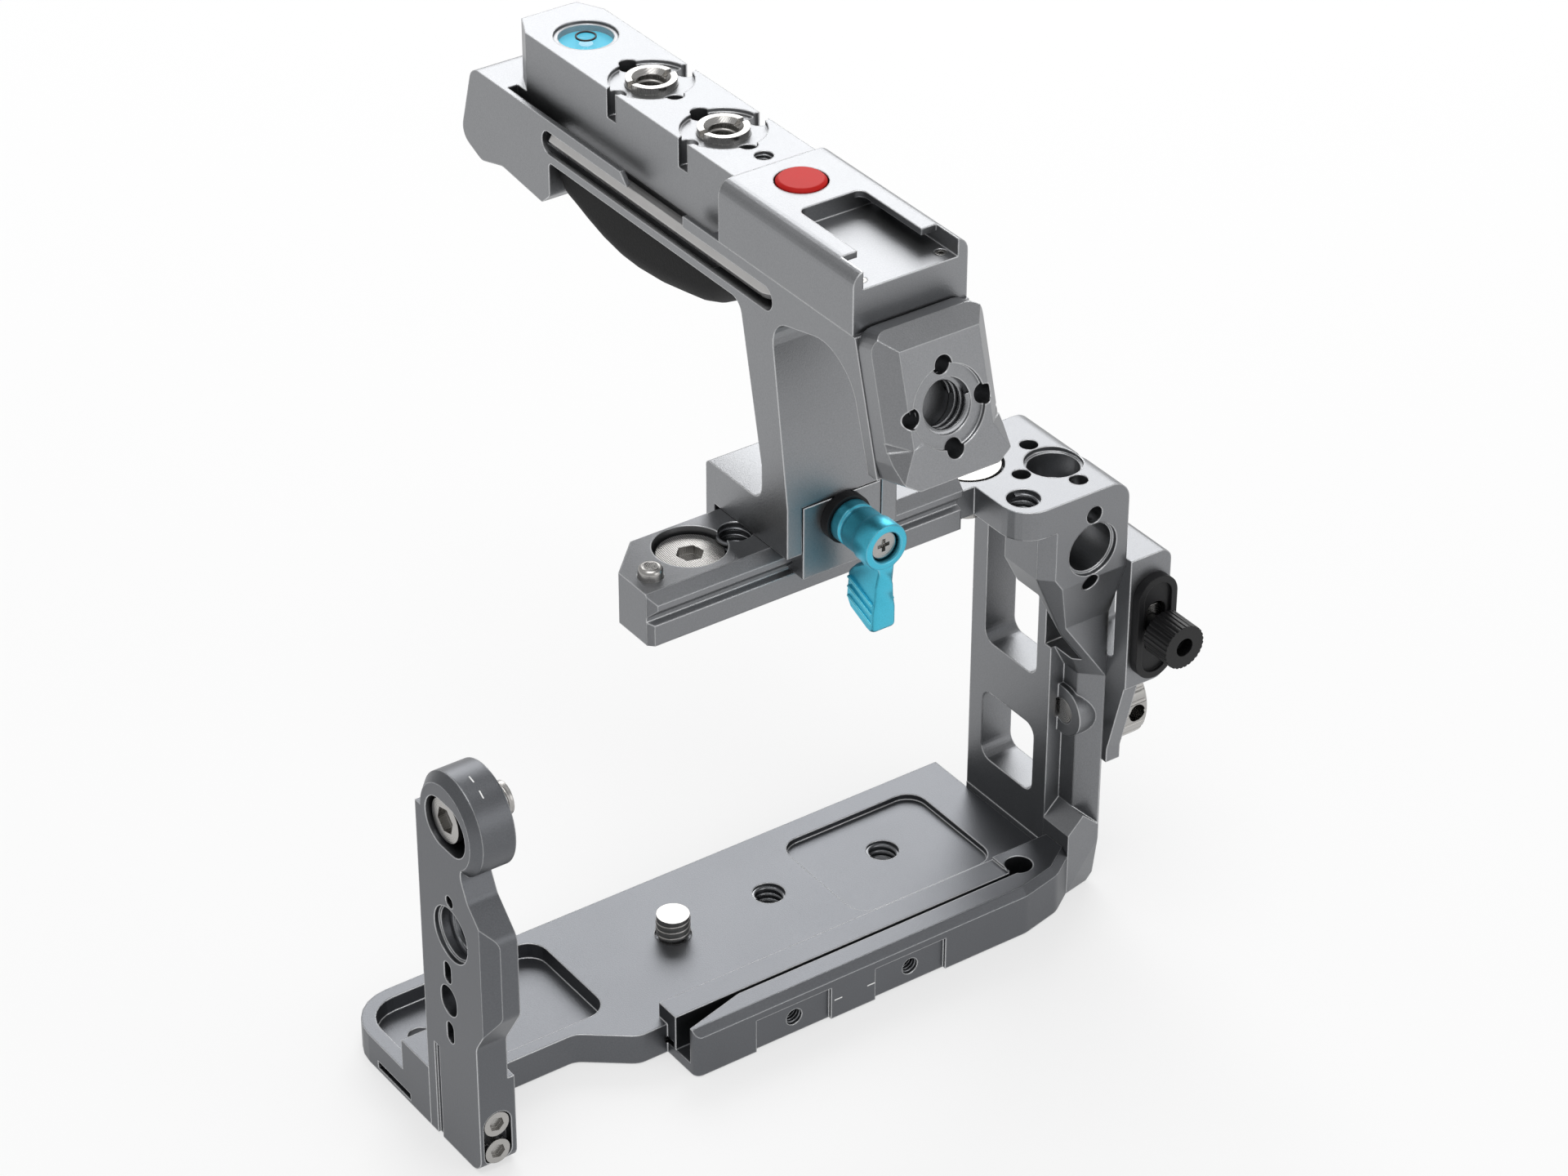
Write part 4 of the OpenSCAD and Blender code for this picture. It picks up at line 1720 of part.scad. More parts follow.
module cable_thumbscrew() color("black") placed()
  translate([clamp_x, bracket_front - oval_out - thumb_gap, clamp_z]) rotate([90, 0, 0])
  difference() {
    union() {
      cylinder(h = thumb_len, r = thumb_r);
      translate([0, 0, -thumb_gap - oval_out - plug_front - free_gap + seat_gap])
        cylinder(h = thumb_gap + oval_out + plug_front + free_gap, r = thumb_neck_r);
    }
    for (i = [0:thumb_flutes - 1]) rotate([0, 0, i * 360 / thumb_flutes])
      translate([thumb_r + thumb_flute_r * half, 0, -over]) cylinder(h = thumb_len + over * 2,
      r = thumb_flute_r);
    translate([0, 0, thumb_len - thumb_socket_deep]) cylinder(h = thumb_len, r = thumb_socket_r);
  }

module bracket_knob() color("silver") placed() translate([wall_out + bracket_plate, knob_y, knob_z])
  rotate([0, 90, 0]) difference() {
    union() {
      translate([0, 0, seat_gap]) cylinder(h = knob_len, r = knob_r);
      translate([0, 0, knob_boss_in - wall_out - bracket_plate + seat_gap])
        cylinder(h = bracket_plate + wall_out - knob_boss_in, r = knob_shank_r);
    }
    for (i = [0:knob_flutes - 1]) rotate([0, 0, i * 360 / knob_flutes])
      translate([knob_r + knob_flute_r * half, 0, -over]) cylinder(h = knob_len * 2, r = knob_flute_r);
    translate([0, 0, knob_len * half]) rotate([90, 0, 0])
      translate([0, 0, -knob_r * 2]) cylinder(h = knob_r * 4, r = knob_bar_r);
    translate([0, 0, knob_len + seat_gap]) rotate_extrude() polygon([[knob_r - knob_rim, skin],
      [knob_r - knob_rim, 0], [knob_r + skin, -knob_rim], [knob_r + knob_rim, -knob_rim],
      [knob_r + knob_rim, skin]]);
  }

// The part

base_plate();
camera_screw();
grip_arm();
arm_side_screw();
arm_foot_screws();
side_frame();
frame_screws();
top_rail();
rail_screws();
stop_pin();
stop_spring();
handle_body();
front_mount();
handle_head();
head_screws();
run_button();
button_spring();
switch_board();
button_switch();
deck_bushes();
level_cup();
level_liquid();
level_window();
level_mark();
hex_key();
key_magnet();
rubber_grip();
clamp_jaw();
jaw_springs();
clamp_stud();
stud_washer();
clamp_lever();
lever_spring();
lever_screw();
cable_bracket();
cable_guide();
cable_nut();
cable_jaw();
cable_thumbscrew();
bracket_knob();
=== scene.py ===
# %% [markdown]
# # A camera cage, dressed for its picture
# The cage is an open frame of milled and anodised aluminium that bolts round a
# camera body. This lesson loads its exact solids, gives each one a finish built
# from shader nodes, and adds the fine parts that only the eye needs: the turns
# of the threads, the bubble in the level, the moulded grip and small marks.

# %% Load the solids
import bpy
import bmesh
import json
import math
from mathutils import Matrix, Vector


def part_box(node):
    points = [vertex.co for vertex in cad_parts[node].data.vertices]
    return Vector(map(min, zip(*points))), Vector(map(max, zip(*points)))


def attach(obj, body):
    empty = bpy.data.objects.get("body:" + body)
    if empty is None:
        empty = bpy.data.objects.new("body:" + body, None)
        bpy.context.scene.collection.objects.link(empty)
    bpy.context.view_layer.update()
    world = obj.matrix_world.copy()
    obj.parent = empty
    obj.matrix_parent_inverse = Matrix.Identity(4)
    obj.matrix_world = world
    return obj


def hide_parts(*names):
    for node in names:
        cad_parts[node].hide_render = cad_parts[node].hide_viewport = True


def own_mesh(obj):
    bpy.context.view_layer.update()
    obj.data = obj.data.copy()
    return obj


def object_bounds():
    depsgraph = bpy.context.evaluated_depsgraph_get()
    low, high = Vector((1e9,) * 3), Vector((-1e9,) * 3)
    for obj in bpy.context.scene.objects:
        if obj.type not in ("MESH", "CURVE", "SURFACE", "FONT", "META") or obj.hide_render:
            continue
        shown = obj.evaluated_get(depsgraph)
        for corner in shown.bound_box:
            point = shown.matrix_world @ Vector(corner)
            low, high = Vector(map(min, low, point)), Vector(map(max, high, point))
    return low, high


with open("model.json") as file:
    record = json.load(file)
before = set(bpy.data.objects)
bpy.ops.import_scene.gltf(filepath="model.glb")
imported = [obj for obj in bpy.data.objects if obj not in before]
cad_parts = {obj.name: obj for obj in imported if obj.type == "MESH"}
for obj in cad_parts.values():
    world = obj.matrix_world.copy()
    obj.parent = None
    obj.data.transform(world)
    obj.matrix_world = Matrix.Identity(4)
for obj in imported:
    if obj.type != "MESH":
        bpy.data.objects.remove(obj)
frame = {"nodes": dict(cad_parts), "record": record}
solid_box = [list(corner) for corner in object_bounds()]
nodes = frame["nodes"]
print("loaded", len(nodes), "solids, box", solid_box)

# %% [markdown]
# ## Camera and studio
# The photograph looks down on the lens side from the front left. The camera
# stands where straight edges of the part gave its place, so the picture and the
# model line up. The studio is a pale floor and a pale sky, with one broad
# softbox behind the part: a satin metal has no colour of its own to show, it
# shows the softbox on its upper faces and the dimmer floor on its sides.

# %% Place the camera
eye = Vector((-0.38108, -0.54588, 0.51113))
right = Vector((0.8177, -0.5756, 0.0)).normalized()
back = Vector((-0.4808, -0.6830, 0.5499)).normalized()
up = back.cross(right).normalized()
right = up.cross(back).normalized()
roll = math.radians(0.1733)
side = right * math.cos(roll) + up * math.sin(roll)
above = up * math.cos(roll) - right * math.sin(roll)

camera_data = bpy.data.cameras.new("picture_camera")
camera_data.lens = 104.89
camera_data.sensor_width = 36.0
camera_data.clip_start = 0.01
camera = bpy.data.objects.new("picture_camera", camera_data)
bpy.context.collection.objects.link(camera)
camera.matrix_world = Matrix((
    (side.x, above.x, back.x, eye.x),
    (side.y, above.y, back.y, eye.y),
    (side.z, above.z, back.z, eye.z),
    (0.0, 0.0, 0.0, 1.0)))
bpy.context.scene.camera = camera
bpy.context.scene.view_settings.view_transform = "Standard"
print("camera stands at", [round(v, 3) for v in eye])

# %% [markdown]
# ## Writing shader maths as sums
# A finish is a small sum: a grain here, a smudge there. The class below wraps a
# node's socket so that `0.4 + 0.1 * grain` adds the Math nodes by itself, and
# one method adds any other node from its settings and inputs.

# %% A socket that can be used in sums
class Value:
    def __init__(self, finish, socket):
        self.finish, self.socket = finish, socket

    def _sum(self, operation, first, second):
        return self.finish.add("ShaderNodeMath", {"operation": operation}, {0: first, 1: second})

    def __add__(self, other): return self._sum("ADD", self, other)
    def __radd__(self, other): return self._sum("ADD", other, self)
    def __sub__(self, other): return self._sum("SUBTRACT", self, other)
    def __rsub__(self, other): return self._sum("SUBTRACT", other, self)
    def __mul__(self, other): return self._sum("MULTIPLY", self, other)
    def __rmul__(self, other): return self._sum("MULTIPLY", other, self)


# %% A finish is one material and the nodes in it
class Finish:
    def __init__(self, name):
        self.material = bpy.data.materials.new(name)
        self.material.use_nodes = True
        self.nodes = self.material.node_tree.nodes
        self.links = self.material.node_tree.links
        self.shader = next(n for n in self.nodes if n.type == "BSDF_PRINCIPLED")

    def plug(self, target, value):
        if isinstance(value, Value):
            self.links.new(value.socket, target)
        else:
            target.default_value = value

    def add(self, kind, settings=None, inputs=None, output=0):
        node = self.nodes.new(kind)
        for key, setting in (settings or {}).items():
            setattr(node, key, setting)
        for key, value in (inputs or {}).items():
            self.plug(node.inputs[key], value)
        return Value(self, node.outputs[output])

    def set(self, **inputs):
        for key, value in inputs.items():
            self.plug(self.shader.inputs[key.replace("_", " ").title()], value)

    def place(self, shift=(0, 0, 0)):
        here = self.add("ShaderNodeTexCoord", output="Object")
        return self.add("ShaderNodeMapping", None, {"Vector": here, "Location": shift})

    def grain(self, scale, detail=2.0):
        return self.add("ShaderNodeTexNoise", None, {
            "Vector": self.place(), "Scale": scale, "Detail": detail, "Roughness": 0.55}, "Fac")

    def mix(self, share, first, second):
        node = self.nodes.new("ShaderNodeMix")
        node.data_type = "RGBA"
        for key, value in ((0, share), (6, first), (7, second)):
            self.plug(node.inputs[key], value)
        return Value(self, node.outputs[2])

    def bump(self, height, depth, normal=None):
        inputs = {"Height": height, "Distance": depth, "Strength": 1.0}
        if normal is not None:
            inputs["Normal"] = normal
        return self.add("ShaderNodeBump", None, inputs)

    def soft_edge(self, radius):
        return self.add("ShaderNodeBevel", {"samples": 6}, {"Radius": radius})


# %% [markdown]
# ## The aluminium
# The frame is blasted with fine glass beads before it is anodised, so it has a
# dense, tiny grain and no direction. The handle is a light titanium grey, the
# side frame and rail a little darker, the base and arm the darkest; part of that
# darkness is painted shade for faces that turn from the light. The sharp edges
# are mixed toward light grey as a painted highlight. A Bevel node rounds the edges in the shading by
# 0.45 mm, as the deburring does, and leaves the solid exact.

# %% Blasted and anodised aluminium
def edge_highlight_mask(finish, radius):
    """1 on a sharp edge, 0 on a flat face: how far the rounded normal leans from the true one; it places the
    painted edge highlight
    """
    soft = finish.soft_edge(radius)
    true = finish.add("ShaderNodeNewGeometry", output="Normal")
    same = finish.add("ShaderNodeVectorMath", {"operation": "DOT_PRODUCT"}, {0: soft, 1: true}, "Value")
    lean = (1.0 - same) * 8.0
    highlight_rim = finish.add("ShaderNodeMath", {"operation": "SUBTRACT", "use_clamp": True}, {0: lean, 1: 0.28})
    return highlight_rim, soft


def blasted(name, colour, rough, grain_depth=0.00003, edge=0.00045, edge_highlight_share=0.8):
    finish = Finish(name)
    beads = finish.grain(4200.0, 2.0)
    cloud = finish.grain(60.0, 3.0)
    highlight_rim, soft = edge_highlight_mask(finish, edge)
    darker = tuple(c * 0.72 for c in colour) + (1.0,)
    lighter = tuple(min(1.0, c * 1.26) for c in colour) + (1.0,)
    tone = finish.mix(0.3 * cloud + 0.7 * beads, darker, lighter)
    # painted highlight: the sharp edges are mixed toward light grey, standing in for the highlight lines of
    # rounded edges
    tone = finish.mix(highlight_rim * edge_highlight_share, tone, (0.86, 0.87, 0.88, 1.0))
    finish.set(metallic=1.0, base_color=tone,
               roughness=rough + 0.10 * (cloud - 0.5) + 0.10 * (beads - 0.5) - 0.08 * highlight_rim,
               normal=finish.bump(beads, grain_depth, soft))
    return finish.material


titanium = blasted("titanium_anodised", (0.27, 0.275, 0.285), 0.38)
# graphite and grey are darker copies of the same aluminium: partly a darker anodise, partly painted shade for
# the base, arm and side frame, whose faces turn from the light
graphite_and_painted_shade = blasted("graphite_anodised_and_painted_shade", (0.14, 0.145, 0.155), 0.40)
grey_and_painted_shade = blasted("grey_anodised_and_painted_shade", (0.235, 0.24, 0.25), 0.40)
sky_blue = blasted("blue_anodised", (0.085, 0.52, 0.69), 0.40, 0.000014, 0.0004, 0.35)
# the ridges are the lever's own blue anodise painted lighter: a painted highlight on their crests
ridge_blue_painted_highlight = blasted("blue_ridge_painted_highlight", (0.16, 0.66, 0.84), 0.34, 0.000006, 0.0002, 0.2)
thread_light = blasted("thread_titanium", (0.30, 0.305, 0.315), 0.28, 0.000004, 0.0001, 0.9)
thread_dark = blasted("thread_graphite", (0.20, 0.205, 0.215), 0.28, 0.000004, 0.0001, 0.9)
print("aluminium finishes ready")

# %% [markdown]
# ## Steel
# Screws, bushes and the knob are turned steel. A lathe leaves fine rings round
# the axis of the piece. The rings come from a wave texture whose coordinates
# are moved to that axis, and they feed the roughness and a very small bump.

# %% Turned steel
def turned(name, colour, axis, centre=(0, 0, 0), rough=0.24):
    finish = Finish(name)
    place = finish.place(tuple(-c for c in centre))
    rings = finish.add("ShaderNodeTexWave",
                       {"wave_type": "RINGS", "rings_direction": axis},
                       {"Vector": place, "Scale": 900.0, "Distortion": 0.6, "Detail": 1.0}, "Fac")
    cloud = finish.grain(240.0, 2.0)
    tone = finish.mix(cloud, tuple(c * 0.86 for c in colour) + (1.0,), tuple(colour) + (1.0,))
    finish.set(metallic=1.0, base_color=tone, roughness=rough + 0.08 * rings + 0.06 * (cloud - 0.5),
               normal=finish.bump(rings, 0.000006, finish.soft_edge(0.0002)))
    return finish.material


# %% [markdown]
# ## Black plastic, rubber, red cap and glass
# The grip is soft moulded rubber with a fine leathery grain. The cable guide is
# moulded plastic, the thumbscrew is blackened metal, the record button is a
# half-gloss cap, and the level is a blue liquid with a painted glow under a clear disc.

# %% Moulded and coated finishes
def moulded(name, colour, rough, grain_scale, grain_depth, coat=0.0, edge=0.0003, gloss=0.5):
    finish = Finish(name)
    skin = finish.grain(grain_scale, 3.0)
    cloud = finish.grain(grain_scale * 0.03, 2.0)
    tone = finish.mix(0.6 * cloud + 0.4 * skin, tuple(c * 0.75 for c in colour) + (1.0,),
                      tuple(min(1.0, c * 1.2) for c in colour) + (1.0,))
    finish.set(metallic=0.0, base_color=tone, roughness=rough + 0.16 * (skin - 0.5), coat_weight=coat,
               normal=finish.bump(skin, grain_depth, finish.soft_edge(edge)))
    finish.shader.inputs["Specular IOR Level"].default_value = gloss
    return finish.material


grip_rubber = moulded("grip_rubber", (0.007, 0.007, 0.0075), 0.66, 2600.0, 0.00004, edge=0.0004, gloss=0.22)
guide_plastic = moulded("guide_plastic", (0.009, 0.009, 0.010), 0.48, 3800.0, 0.00002, gloss=0.3)
black_coat = moulded("black_coat", (0.005, 0.005, 0.0055), 0.40, 4200.0, 0.00001, 0.05, 0.0002, 0.3)
button_red = moulded("button_red", (0.52, 0.008, 0.006), 0.55, 3200.0, 0.00001, 0.0, 0.0005, 0.2)
board_green = moulded("board_green", (0.02, 0.12, 0.06), 0.5, 900.0, 0.00002)
mark_white = moulded("mark_white", (0.86, 0.86, 0.85), 0.55, 5000.0, 0.000004, 0.0, 0.0)

# %% Liquid with a painted glow, and clear disc of the level
def liquid(name, colour):
    finish = Finish(name)
    depth = finish.grain(120.0, 1.0)
    tone = finish.mix(depth, tuple(c * 0.85 for c in colour) + (1.0,), tuple(colour) + (1.0,))
    finish.set(base_color=tone, roughness=0.45 + 0.1 * depth)
    finish.shader.inputs["Specular IOR Level"].default_value = 0.1
    # painted glow: the liquid and the bubble emit light in their own colour, standing in for light passing
    # through the level
    finish.shader.inputs["Emission Strength"].default_value = 0.42
    finish.set(emission_color=tone)
    return finish.material


def clear(name):
    finish = Finish(name)
    haze = finish.grain(700.0, 2.0)
    finish.set(base_color=finish.mix(haze, (0.92, 0.97, 1.0, 1.0), (1.0, 1.0, 1.0, 1.0)),
               roughness=0.02 + 0.03 * haze)
    finish.shader.inputs["Alpha"].default_value = 0.07
    finish.shader.inputs["Specular IOR Level"].default_value = 0.1
    return finish.material


level_blue_painted_glow = liquid("level_blue_painted_glow", (0.0, 0.44, 0.62))
bubble_painted_glow = liquid("bubble_painted_glow", (0.30, 0.62, 0.78))
level_clear = clear("level_clear")
print("moulded, coated and clear finishes ready")

# %% [markdown]
# ## Dressing the solids
# Each solid keeps its shape and gets the finish of the real piece. Steel pieces
# get rings round their own axis, whose place is read from the piece's box.

# %% Give each solid its finish
def wear(name, material):
    piece = nodes[name]
    piece.data.materials.clear()
    piece.data.materials.append(material)


def middle(name):
    low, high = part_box(name)
    return [(a + b) / 2 for a, b in zip(low, high)]


for name in ("handle_body", "front_mount", "handle_head", "clamp_jaw", "level_cup"):
    wear(name, titanium)
for name in ("base_plate", "grip_arm"):
    wear(name, graphite_and_painted_shade)
for name in ("side_frame", "cable_bracket", "top_rail"):
    wear(name, grey_and_painted_shade)
for name, axis in (("camera_screw", "Z"), ("stop_pin", "Z"), ("arm_side_screw", "X"), ("bracket_knob", "X"),
                   ("lever_screw", "Y"), ("clamp_stud", "Y"), ("cable_nut", "Y"), ("key_magnet", "X"),
                   ("cable_jaw", "Y"), ("stop_spring", "Z"), ("button_spring", "Z"),
                   ("jaw_springs", "Y"), ("lever_spring", "Y"), ("head_screws", "Z"), ("frame_screws", "X"),
                   ("arm_foot_screws", "Y"), ("rail_screws", "Z"), ("deck_bushes", "Z")):
    wear(name, turned("steel_" + name, (0.44, 0.43, 0.415), axis, middle(name)))
wear("hex_key", turned("steel_bright", (0.72, 0.71, 0.70), "Y", middle("hex_key"), 0.3))
wear("clamp_lever", sky_blue)
wear("rubber_grip", grip_rubber)
wear("cable_guide", guide_plastic)
wear("stud_washer", guide_plastic)
wear("button_switch", guide_plastic)
wear("level_mark", guide_plastic)
wear("cable_thumbscrew", black_coat)
wear("run_button", button_red)
wear("switch_board", board_green)
wear("level_liquid", level_blue_painted_glow)
wear("level_window", level_clear)
print("dressed", len(nodes), "solids")
# %% [markdown]
# ## Turned and threaded parts
# A thread in metal is one ridge that winds round the hole. Here a small oval
# outline is spun round the hole's axis and moved up by one pitch each turn. Its
# outer half sits inside the wall, so only the crest shows. The holes' places,
# directions and radii are read from the record of the solids.

# %% Helpers for new pieces
MM = 0.001


def finish_piece(name, work, material, body, smooth=True):
    bmesh.ops.remove_doubles(work, verts=work.verts, dist=0.000001)
    bmesh.ops.recalc_face_normals(work, faces=work.faces)
    mesh = bpy.data.meshes.new(name)
    work.to_mesh(mesh)
    work.free()
    mesh.polygons.foreach_set("use_smooth", [smooth] * len(mesh.polygons))
    if smooth:
        mesh.set_sharp_from_angle(angle=math.radians(35))
    mesh.materials.append(material)
    piece = bpy.data.objects.new(name, mesh)
    bpy.context.collection.objects.link(piece)
    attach(piece, body)
    return piece


def stand(work, axis, place):
    turn = Vector(axis).to_track_quat("Z", "Y").to_matrix().to_4x4()
    bmesh.ops.transform(work, matrix=Matrix.Translation(place) @ turn, verts=work.verts)


def line(work, points):
    corners = [work.verts.new((r * MM, 0.0, z * MM)) for r, z in points]
    return corners + [work.edges.new(pair) for pair in zip(corners, corners[1:])]


def lathe(name, body, outline, axis, place, material, steps=64):
    work = bmesh.new()
    bmesh.ops.spin(work, geom=line(work, outline), cent=(0, 0, 0), axis=(0, 0, 1), angle=math.tau,
                   steps=steps, use_merge=True)
    stand(work, axis, place)
    return finish_piece(name, work, material, body)


# %% The turns of a thread
def thread_turns(name, body, place, axis, radius, length, pitch, depth, material):
    turns = max(1.0, length / pitch - 0.75)
    work = bmesh.new()
    bmesh.ops.create_circle(work, cap_ends=True, segments=12, radius=depth * MM)
    bmesh.ops.scale(work, verts=work.verts, vec=(1.0, pitch * 0.29 / depth, 1.0))
    bmesh.ops.rotate(work, verts=work.verts, matrix=Matrix.Rotation(math.pi / 2, 3, "X"))
    bmesh.ops.translate(work, verts=work.verts, vec=(radius * MM, 0.0, -turns * pitch * MM / 2))
    steps = round(28 * turns)
    bmesh.ops.spin(work, geom=work.verts[:] + work.edges[:] + work.faces[:], cent=(0, 0, 0), axis=(0, 0, 1),
                   dvec=(0, 0, turns * pitch * MM / steps), angle=math.tau * turns, steps=steps)
    stand(work, axis, place)
    return finish_piece(name, work, material, body)


thread_steel = turned("thread_steel", (0.44, 0.43, 0.415), "Z", (0, 0, 0), 0.3)
mounts = {mount["name"]: mount for mount in frame["record"]["mounts"]}
body_of = {name: body for body, names in frame["record"]["behaviour"]["bodies"].items() for name in names}
thread_of = {
    # hole: (node it is in, pitch, crest height, finish)
    "front_mount_thread": ("front_mount", 1.5875, 0.85, thread_light),
    "arm_thread": ("grip_arm", 1.5875, 0.85, thread_dark),
    "corner_small_thread": ("side_frame", 1.27, 0.62, thread_dark),
    "rail_small_thread": ("top_rail", 1.27, 0.4, thread_dark),
    "deck_thread_rear": ("deck_bushes", 1.27, 0.35, thread_steel),
    "deck_thread_front": ("deck_bushes", 1.27, 0.35, thread_steel),
    "deck_small_thread": ("handle_body", 0.7, 0.25, thread_light),
    "tripod_thread": ("base_plate", 1.27, 0.62, thread_dark),
    "tripod_thread_side": ("base_plate", 1.27, 0.62, thread_dark),
    "camera_screw_end": ("camera_screw", 1.27, 0.14, thread_steel),
    "arm_side_screw_end": ("arm_side_screw", 1.0, 0.14, thread_steel),
    "top_screw_left": ("rail_screws", 1.0, 0.14, thread_steel),
    "top_screw_right": ("rail_screws", 1.0, 0.14, thread_steel),
}
for hole, (node, pitch, crest, material) in thread_of.items():
    mount = mounts[hole]
    # a tripod hole's place is its mouth, every other place is the middle of its length
    sink = mount["dims"]["length_mm"] * MM / 2 if hole.startswith("tripod") else 0.0003
    place = Vector(mount["pos_m"]) - Vector(mount["axis"]) * sink
    turns = thread_turns(hole + "_turns", body_of[node], place, mount["axis"], mount["dims"]["r_mm"],
                         mount["dims"]["length_mm"], pitch, crest, material)
front_pair = mounts["front_rail_threads"]
half_spacing = front_pair["dims"]["spacing_x_mm"] * MM / 2
for hand, side_sign in (("left", -1), ("right", 1)):
    place = Vector(front_pair["pos_m"]) + Vector((side_sign * half_spacing, 2.2 * MM, 0))
    turns = thread_turns("rail_front_turns_" + hand, body_of["base_plate"], place, (0, -1, 0), 1.65, 4.4,
                         0.7, 0.28, thread_dark)
print("threads:", len(thread_of) + 2)

# %% [markdown]
# ## Stop pin
# The pin's top is turned with a rounded shoulder and a small flat middle. It is
# turned again here with those curves, on the same axis as the solid.

# %% Stop pin
pin_low, pin_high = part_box("stop_pin")
pin_mid = middle("stop_pin")
pin_h = (pin_high[2] - pin_low[2]) / MM
pin_outline = [(0, 0), (2.5, 0), (2.5, 1.0), (2.15, 1.0), (2.15, pin_h - 0.75), (2.06, pin_h - 0.42),
               (1.82, pin_h - 0.16), (1.5, pin_h - 0.03), (1.25, pin_h), (1.15, pin_h - 0.08),
               (0, pin_h - 0.1)]
stop_cap = lathe("stop_pin_turned", body_of["stop_pin"], pin_outline, (0, 0, 1),
                 (pin_mid[0], pin_mid[1], pin_low[2]), nodes["stop_pin"].data.materials[0])
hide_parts("stop_pin")

# %% [markdown]
# ## Pressed springs
# The springs under the stop pin and under the button are wound from wire. They
# stand on a fixed end and get shorter as their pin or button goes down; here
# they are drawn as true coils.

# %% Two coil springs
def wind(node, turns, wire_r):
    low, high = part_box(node)
    tall = (high[2] - low[2]) / MM
    mean_r = (high[0] - low[0]) / MM / 2 - wire_r
    centre = middle(node)
    work = bmesh.new()
    bmesh.ops.create_circle(work, cap_ends=True, segments=10, radius=wire_r * MM)
    bmesh.ops.rotate(work, verts=work.verts, matrix=Matrix.Rotation(math.pi / 2, 3, "X"))
    bmesh.ops.translate(work, verts=work.verts, vec=(mean_r * MM, 0.0, wire_r * MM))
    steps = 32 * turns
    bmesh.ops.spin(work, geom=work.verts[:] + work.edges[:] + work.faces[:], cent=(0, 0, 0), axis=(0, 0, 1),
                   dvec=(0, 0, (tall - 2 * wire_r) * MM / steps), angle=math.tau * turns, steps=steps)
    bmesh.ops.translate(work, verts=work.verts, vec=(centre[0], centre[1], low[2]))
    spring = finish_piece(node + "_wound", work, nodes[node].data.materials[0], body_of[node])
    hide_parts(node)
    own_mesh(spring)
    print(node, "wound,", round(tall, 2), "mm tall")


wind("stop_spring", 3, 0.2)
wind("button_spring", 3, 0.15)

# %% [markdown]
# ## Clamp lever
# The lever is one milled piece: a stepped barrel, a round head, a neck and a
# blade with three slanted grip ridges. The barrel is turned. The blade is drawn
# flat as its side view, given its width, narrowed at the neck, and its edges are
# bevelled, as the small cutter does on the real one.

# %% Barrel and head
lever_low, lever_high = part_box("clamp_lever")
barrel_back = lever_high[1]
barrel_len = (lever_high[1] - lever_low[1]) / MM
stud_mid = middle("lever_screw")
head_r, bore_r, recess_r = 4.3, 3.25, 2.8
lever_outline = [(bore_r, 0), (3.75, 0), (3.95, 0.25), (3.95, 2.2), (3.6, 2.5), (3.6, 3.0), (3.95, 3.3),
                 (3.95, barrel_len - 4.8), (head_r - 0.15, barrel_len - 4.2), (head_r, barrel_len - 3.8),
                 (head_r, barrel_len - 0.5), (head_r - 0.15, barrel_len - 0.15), (head_r - 0.5, barrel_len),
                 (recess_r + 0.25, barrel_len), (recess_r, barrel_len - 0.25), (recess_r, 3.2), (bore_r, 3.2),
                 (bore_r, 0)]
barrel = lathe("lever_barrel", body_of["clamp_lever"], lever_outline, (0, -1, 0),
               (stud_mid[0], barrel_back, stud_mid[2]), sky_blue, 72)

# %% Blade
blade_x, blade_front = stud_mid[0], lever_low[1]
blade_side = [(0.2, -3.1), (0.2, -4.3), (0.2, -6.0), (0.2, -8.0), (0.2, -10.0), (0.2, -12.5), (0.2, -16.2),
              (1.4, -17.0), (2.6, -16.8), (7.4, -14.9), (8.6, -13.2), (8.6, -8.2), (6.6, -6.0), (4.4, -4.3),
              (4.4, -3.1)]
half_width = [(-3.1, 2.9), (-4.3, 2.2), (-6.0, 1.7), (-8.0, 1.8), (-10.0, 2.25), (-17.0, 2.3)]


def width_at(z):
    for (z0, w0), (z1, w1) in zip(half_width, half_width[1:]):
        if z >= z1:
            return w0 + (w1 - w0) * (z0 - z) / (z0 - z1)
    return half_width[-1][1]


work = bmesh.new()
corners = [work.verts.new((0.0, y * MM, z * MM)) for y, z in blade_side]
flat = work.faces.new(corners)
grown = bmesh.ops.extrude_face_region(work, geom=[flat])
moved = [v for v in grown["geom"] if isinstance(v, bmesh.types.BMVert)]
for vert in work.verts:
    vert.co.x = width_at(vert.co.z / MM) * MM * (1 if vert in moved else -1)
bmesh.ops.recalc_face_normals(work, faces=work.faces)
bmesh.ops.bevel(work, geom=[e for e in work.edges if e.calc_face_angle(0) > 0.6], offset=0.7 * MM, segments=4,
                affect="EDGES", profile=0.5, material=-1)
bmesh.ops.translate(work, verts=work.verts, vec=(blade_x, blade_front, stud_mid[2]))
blade = finish_piece("lever_blade", work, sky_blue, body_of["clamp_lever"])

